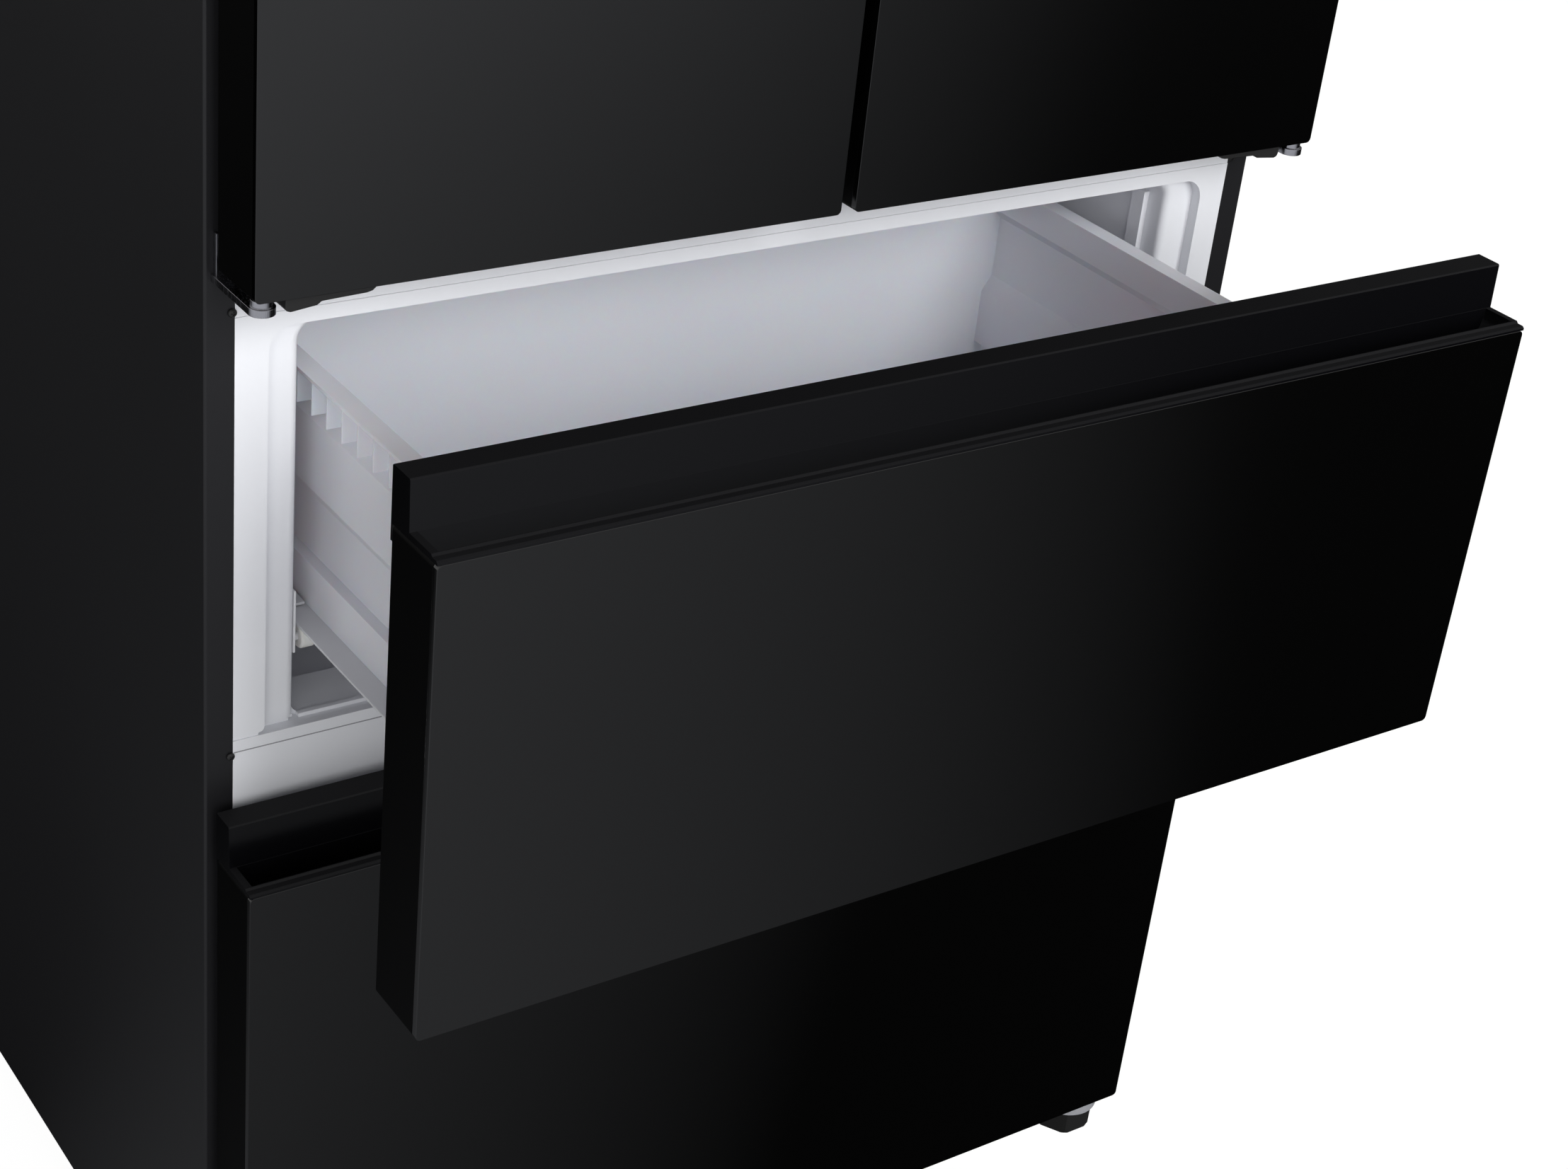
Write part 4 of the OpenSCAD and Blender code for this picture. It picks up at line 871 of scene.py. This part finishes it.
screwSettings = {  # radius, height of the dome and of the skirt under it, metres
    "hinge": (0.0034, 0.0013, 0.0013),
    "panel": (0.0045, 0.0020, 0.0006),
    "small": (0.0030, 0.0014, 0.0005),
    "clip": (0.0024, 0.0014, 0.0008),
}
screwPlaces = {  # metres
    "away": 1.0,  # how far outside the case the lines to its screws start
    "coldStart": -0.1,  # y in the freezer, in front of the evaporator's cover
    "ductStart": 0.1,  # y in the fridge, in front of the duct
    "underStart": -0.5,  # z
    "closerStart": 0.5,  # z below the doors
    "hingeIn": 0.009,  # in from the hinges' outer ends
    "hingeMet": 0.0023,  # below their top, where the line meets the plate
    "hingeDown": 0.006,  # where the screw sits
    "clipAcross": 0.3372,
    "clipLevels": (0.4865, 0.7498),
    "backIn": 0.009,  # in from the back panel's edges
    "backEnds": 0.045,  # from its ends to the side rows' first and last screws
    "backRows": 8,
    "backColumns": 6,
    "coverAcross": (-0.335, -0.17, 0.0, 0.17, 0.335),
    "coverIn": 0.012,
    "coldIn": 0.03,
    "ductIn": 0.02,
    "bracketBack": (0.018, 0.046),  # behind the case's front
    "bracketIn": 0.034,
    "closerShare": 0.3,  # of the closer's length, from its outer end
}
caseLow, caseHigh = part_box("outer_case")
frontPlane, farBack = caseLow.y, caseHigh.y + screwPlaces["away"]
forward, backward, upward = (0, 1, 0), (0, -1, 0), (0, 0, 1)


def hingeSpots(s):
    low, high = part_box("middle_hinges")
    spots = []
    for way in (-1, 1):
        x = way * (high.x - s["hingeIn"])
        place, normal = meets("middle_hinges", (x, frontPlane - s["away"], high.z - s["hingeMet"]),
                              forward)
        spots.append((Vector((x, place.y, high.z - s["hingeDown"])), Vector(backward)))
    return spots


def clipSpots(s):
    return [(Vector((way * s["clipAcross"], frontPlane, z)), Vector(backward))
            for way in (-1, 1) for z in s["clipLevels"]]


def backSpots(s):
    low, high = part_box("back_panel")
    spots = []
    for way in (-1, 1):
        for step in range(s["backRows"]):
            rise = step * (high.z - low.z - 2 * s["backEnds"]) / (s["backRows"] - 1)
            start = (way * (high.x - s["backIn"]), farBack, low.z + s["backEnds"] + rise)
            spots.append(meets("back_panel", start, backward))
    for step in range(1, s["backColumns"]):
        x = low.x + step * (high.x - low.x) / s["backColumns"]
        spots.append(meets("back_panel", (x, farBack, high.z - s["backIn"]), backward))
    low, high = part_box("machine_cover")
    for x in s["coverAcross"]:
        for z in (low.z + s["coverIn"], high.z - s["coverIn"]):
            spots.append(meets("machine_cover", (x, farBack, z), backward))
    return spots


def innerSpots(s):
    low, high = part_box("evaporator_cover")
    spots = [meets("evaporator_cover", (way * (high.x - s["coldIn"]), s["coldStart"], z), forward)
             for way in (-1, 1) for z in (low.z + s["coldIn"], high.z - s["coldIn"])]
    low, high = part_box("fridge_air_duct")
    return spots + [meets("fridge_air_duct", (0, s["ductStart"], z), forward)
                    for z in (low.z + s["ductIn"], high.z - s["ductIn"])]


def bracketSpots(s):
    x = caseHigh.x - s["bracketIn"]
    return [meets("foot_brackets", (way * x, frontPlane + back, s["underStart"]), upward)
            for way in (-1, 1) for back in s["bracketBack"]]


def closerSpot(node, way, s):
    low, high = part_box(node)
    share = s["closerShare"] if way < 0 else 1 - s["closerShare"]
    start = (low.x + share * (high.x - low.x), (low.y + high.y) / 2, s["closerStart"])
    return meets(node, start, upward)


screwSet("hingeScrews", hingeSpots(screwPlaces), screwSettings["hinge"], "brightSteel", "cabinet",
         "hinge_steel")
screwSet("lipClips", clipSpots(screwPlaces), screwSettings["clip"], "blackPlastic", "cabinet",
         "black_plastic")
screwSet("backScrews", backSpots(screwPlaces), screwSettings["panel"], "brightSteel", "cabinet",
         "zinc_steel")
screwSet("linerScrews", innerSpots(screwPlaces), screwSettings["panel"], "linerPlastic", "cabinet",
         "liner_plastic")
screwSet("bracketScrews", bracketSpots(screwPlaces), screwSettings["panel"], "zincPlate", "cabinet",
         "zinc_steel")
for side, way in (("left", -1), ("right", 1)):
    screwSet(side + "CloserScrew", [closerSpot(side + "_closer", way, screwPlaces)],
             screwSettings["small"], "hingeSteel", side + "_door", "hinge_steel")
print("screws set")


# threads on the feet's studs, the compressor's pipe and the rail cover's joints

threadSettings = {"pitch": 0.0015, "crest": 0.00035, "from": 0.0172, "length": 0.0021}
for side in ("left", "right"):
    low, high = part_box(side + "_foot")
    middle = (low + high) / 2
    mesh = drawn(side + "FootThread", [(middle.x, middle.y, threadSettings["from"])])
    grown(side + "FootThread", mesh, woundThread, {
        "Radius": footShape["stud"], "Pitch": threadSettings["pitch"],
        "Height": threadSettings["length"], "Crest": threadSettings["crest"]},
        "zincPlate", side + "_foot", "foot_plastic")

pipeSettings = {  # metres
    "radius": 0.0032,
    "bend": 0.012,
    "depth": 0.352,  # the pipe's y
    "above": 0.022,  # of the compressor's top
    "fromIn": 0.045,  # in from the compressor's left
    "fromSunk": 0.004,
    "toIn": 0.06,  # in from the condenser's left
    "toSunk": 0.006,
    "smooth": 60,  # degrees
}


def pipeLine(s):
    startLow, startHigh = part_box("compressor")
    endLow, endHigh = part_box("condenser")
    startX, endX, top = startLow.x + s["fromIn"], endLow.x + s["toIn"], startHigh.z + s["above"]
    return [(startX, s["depth"], startHigh.z - s["fromSunk"]), (startX, s["depth"], top),
            (endX, s["depth"], top), (endX, s["depth"], endHigh.z - s["toSunk"])]


points = pipeLine(pipeSettings)
mesh = drawn("copperPipes", points, [(at, at + 1) for at in range(len(points) - 1)])
grown("copperPipes", mesh, bentPipe, {"Radius": pipeSettings["radius"], "Bend": pipeSettings["bend"]},
      "copperTube", "cabinet", "compressor_paint", pipeSettings["smooth"])

# grey bead sunk into the seam where the lower rail cover meets the faces of the two freezer liners:
# partly a sealing bead, partly painted shade that darkens the groove
seamShadeBeadSettings = {"radius": 0.00045, "bend": 0.001, "inset": 0.0006, "sunk": 0.0002, "smooth": 60}
railLow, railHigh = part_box("rail_covers")
railLevels = sorted({round(corner.co.z, 4) for corner in cadNodes["rail_covers"].data.vertices})
jointLevels = (railLevels[0], railLevels[3])  # outer edges of the lower cover's channel
jointEnds = (railLow.x + seamShadeBeadSettings["inset"], railHigh.x - seamShadeBeadSettings["inset"])
mesh = drawn("railJoints",
             [(x, railLow.y + seamShadeBeadSettings["sunk"], z) for z in jointLevels for x in jointEnds],
             [(2 * row, 2 * row + 1) for row in range(len(jointLevels))])
# the bead's grey rubber is painted shade in the seam's groove as well as a sealing bead
grown("railJoints", mesh, bentPipe, {"Radius": seamShadeBeadSettings["radius"], "Bend": seamShadeBeadSettings["bend"]},
      "sealRubber", "cabinet", slotOf["rail_covers"], seamShadeBeadSettings["smooth"])
print("threads, pipes and joints made")


# the photograph's fronts mirror only the studio, and none of the open drawer below them
for node in record["behaviour"]["bodies"]["upper_drawer"]:
    piece = bpy.data.objects.get(camel(node), cadNodes[node])
    piece.visible_glossy = False
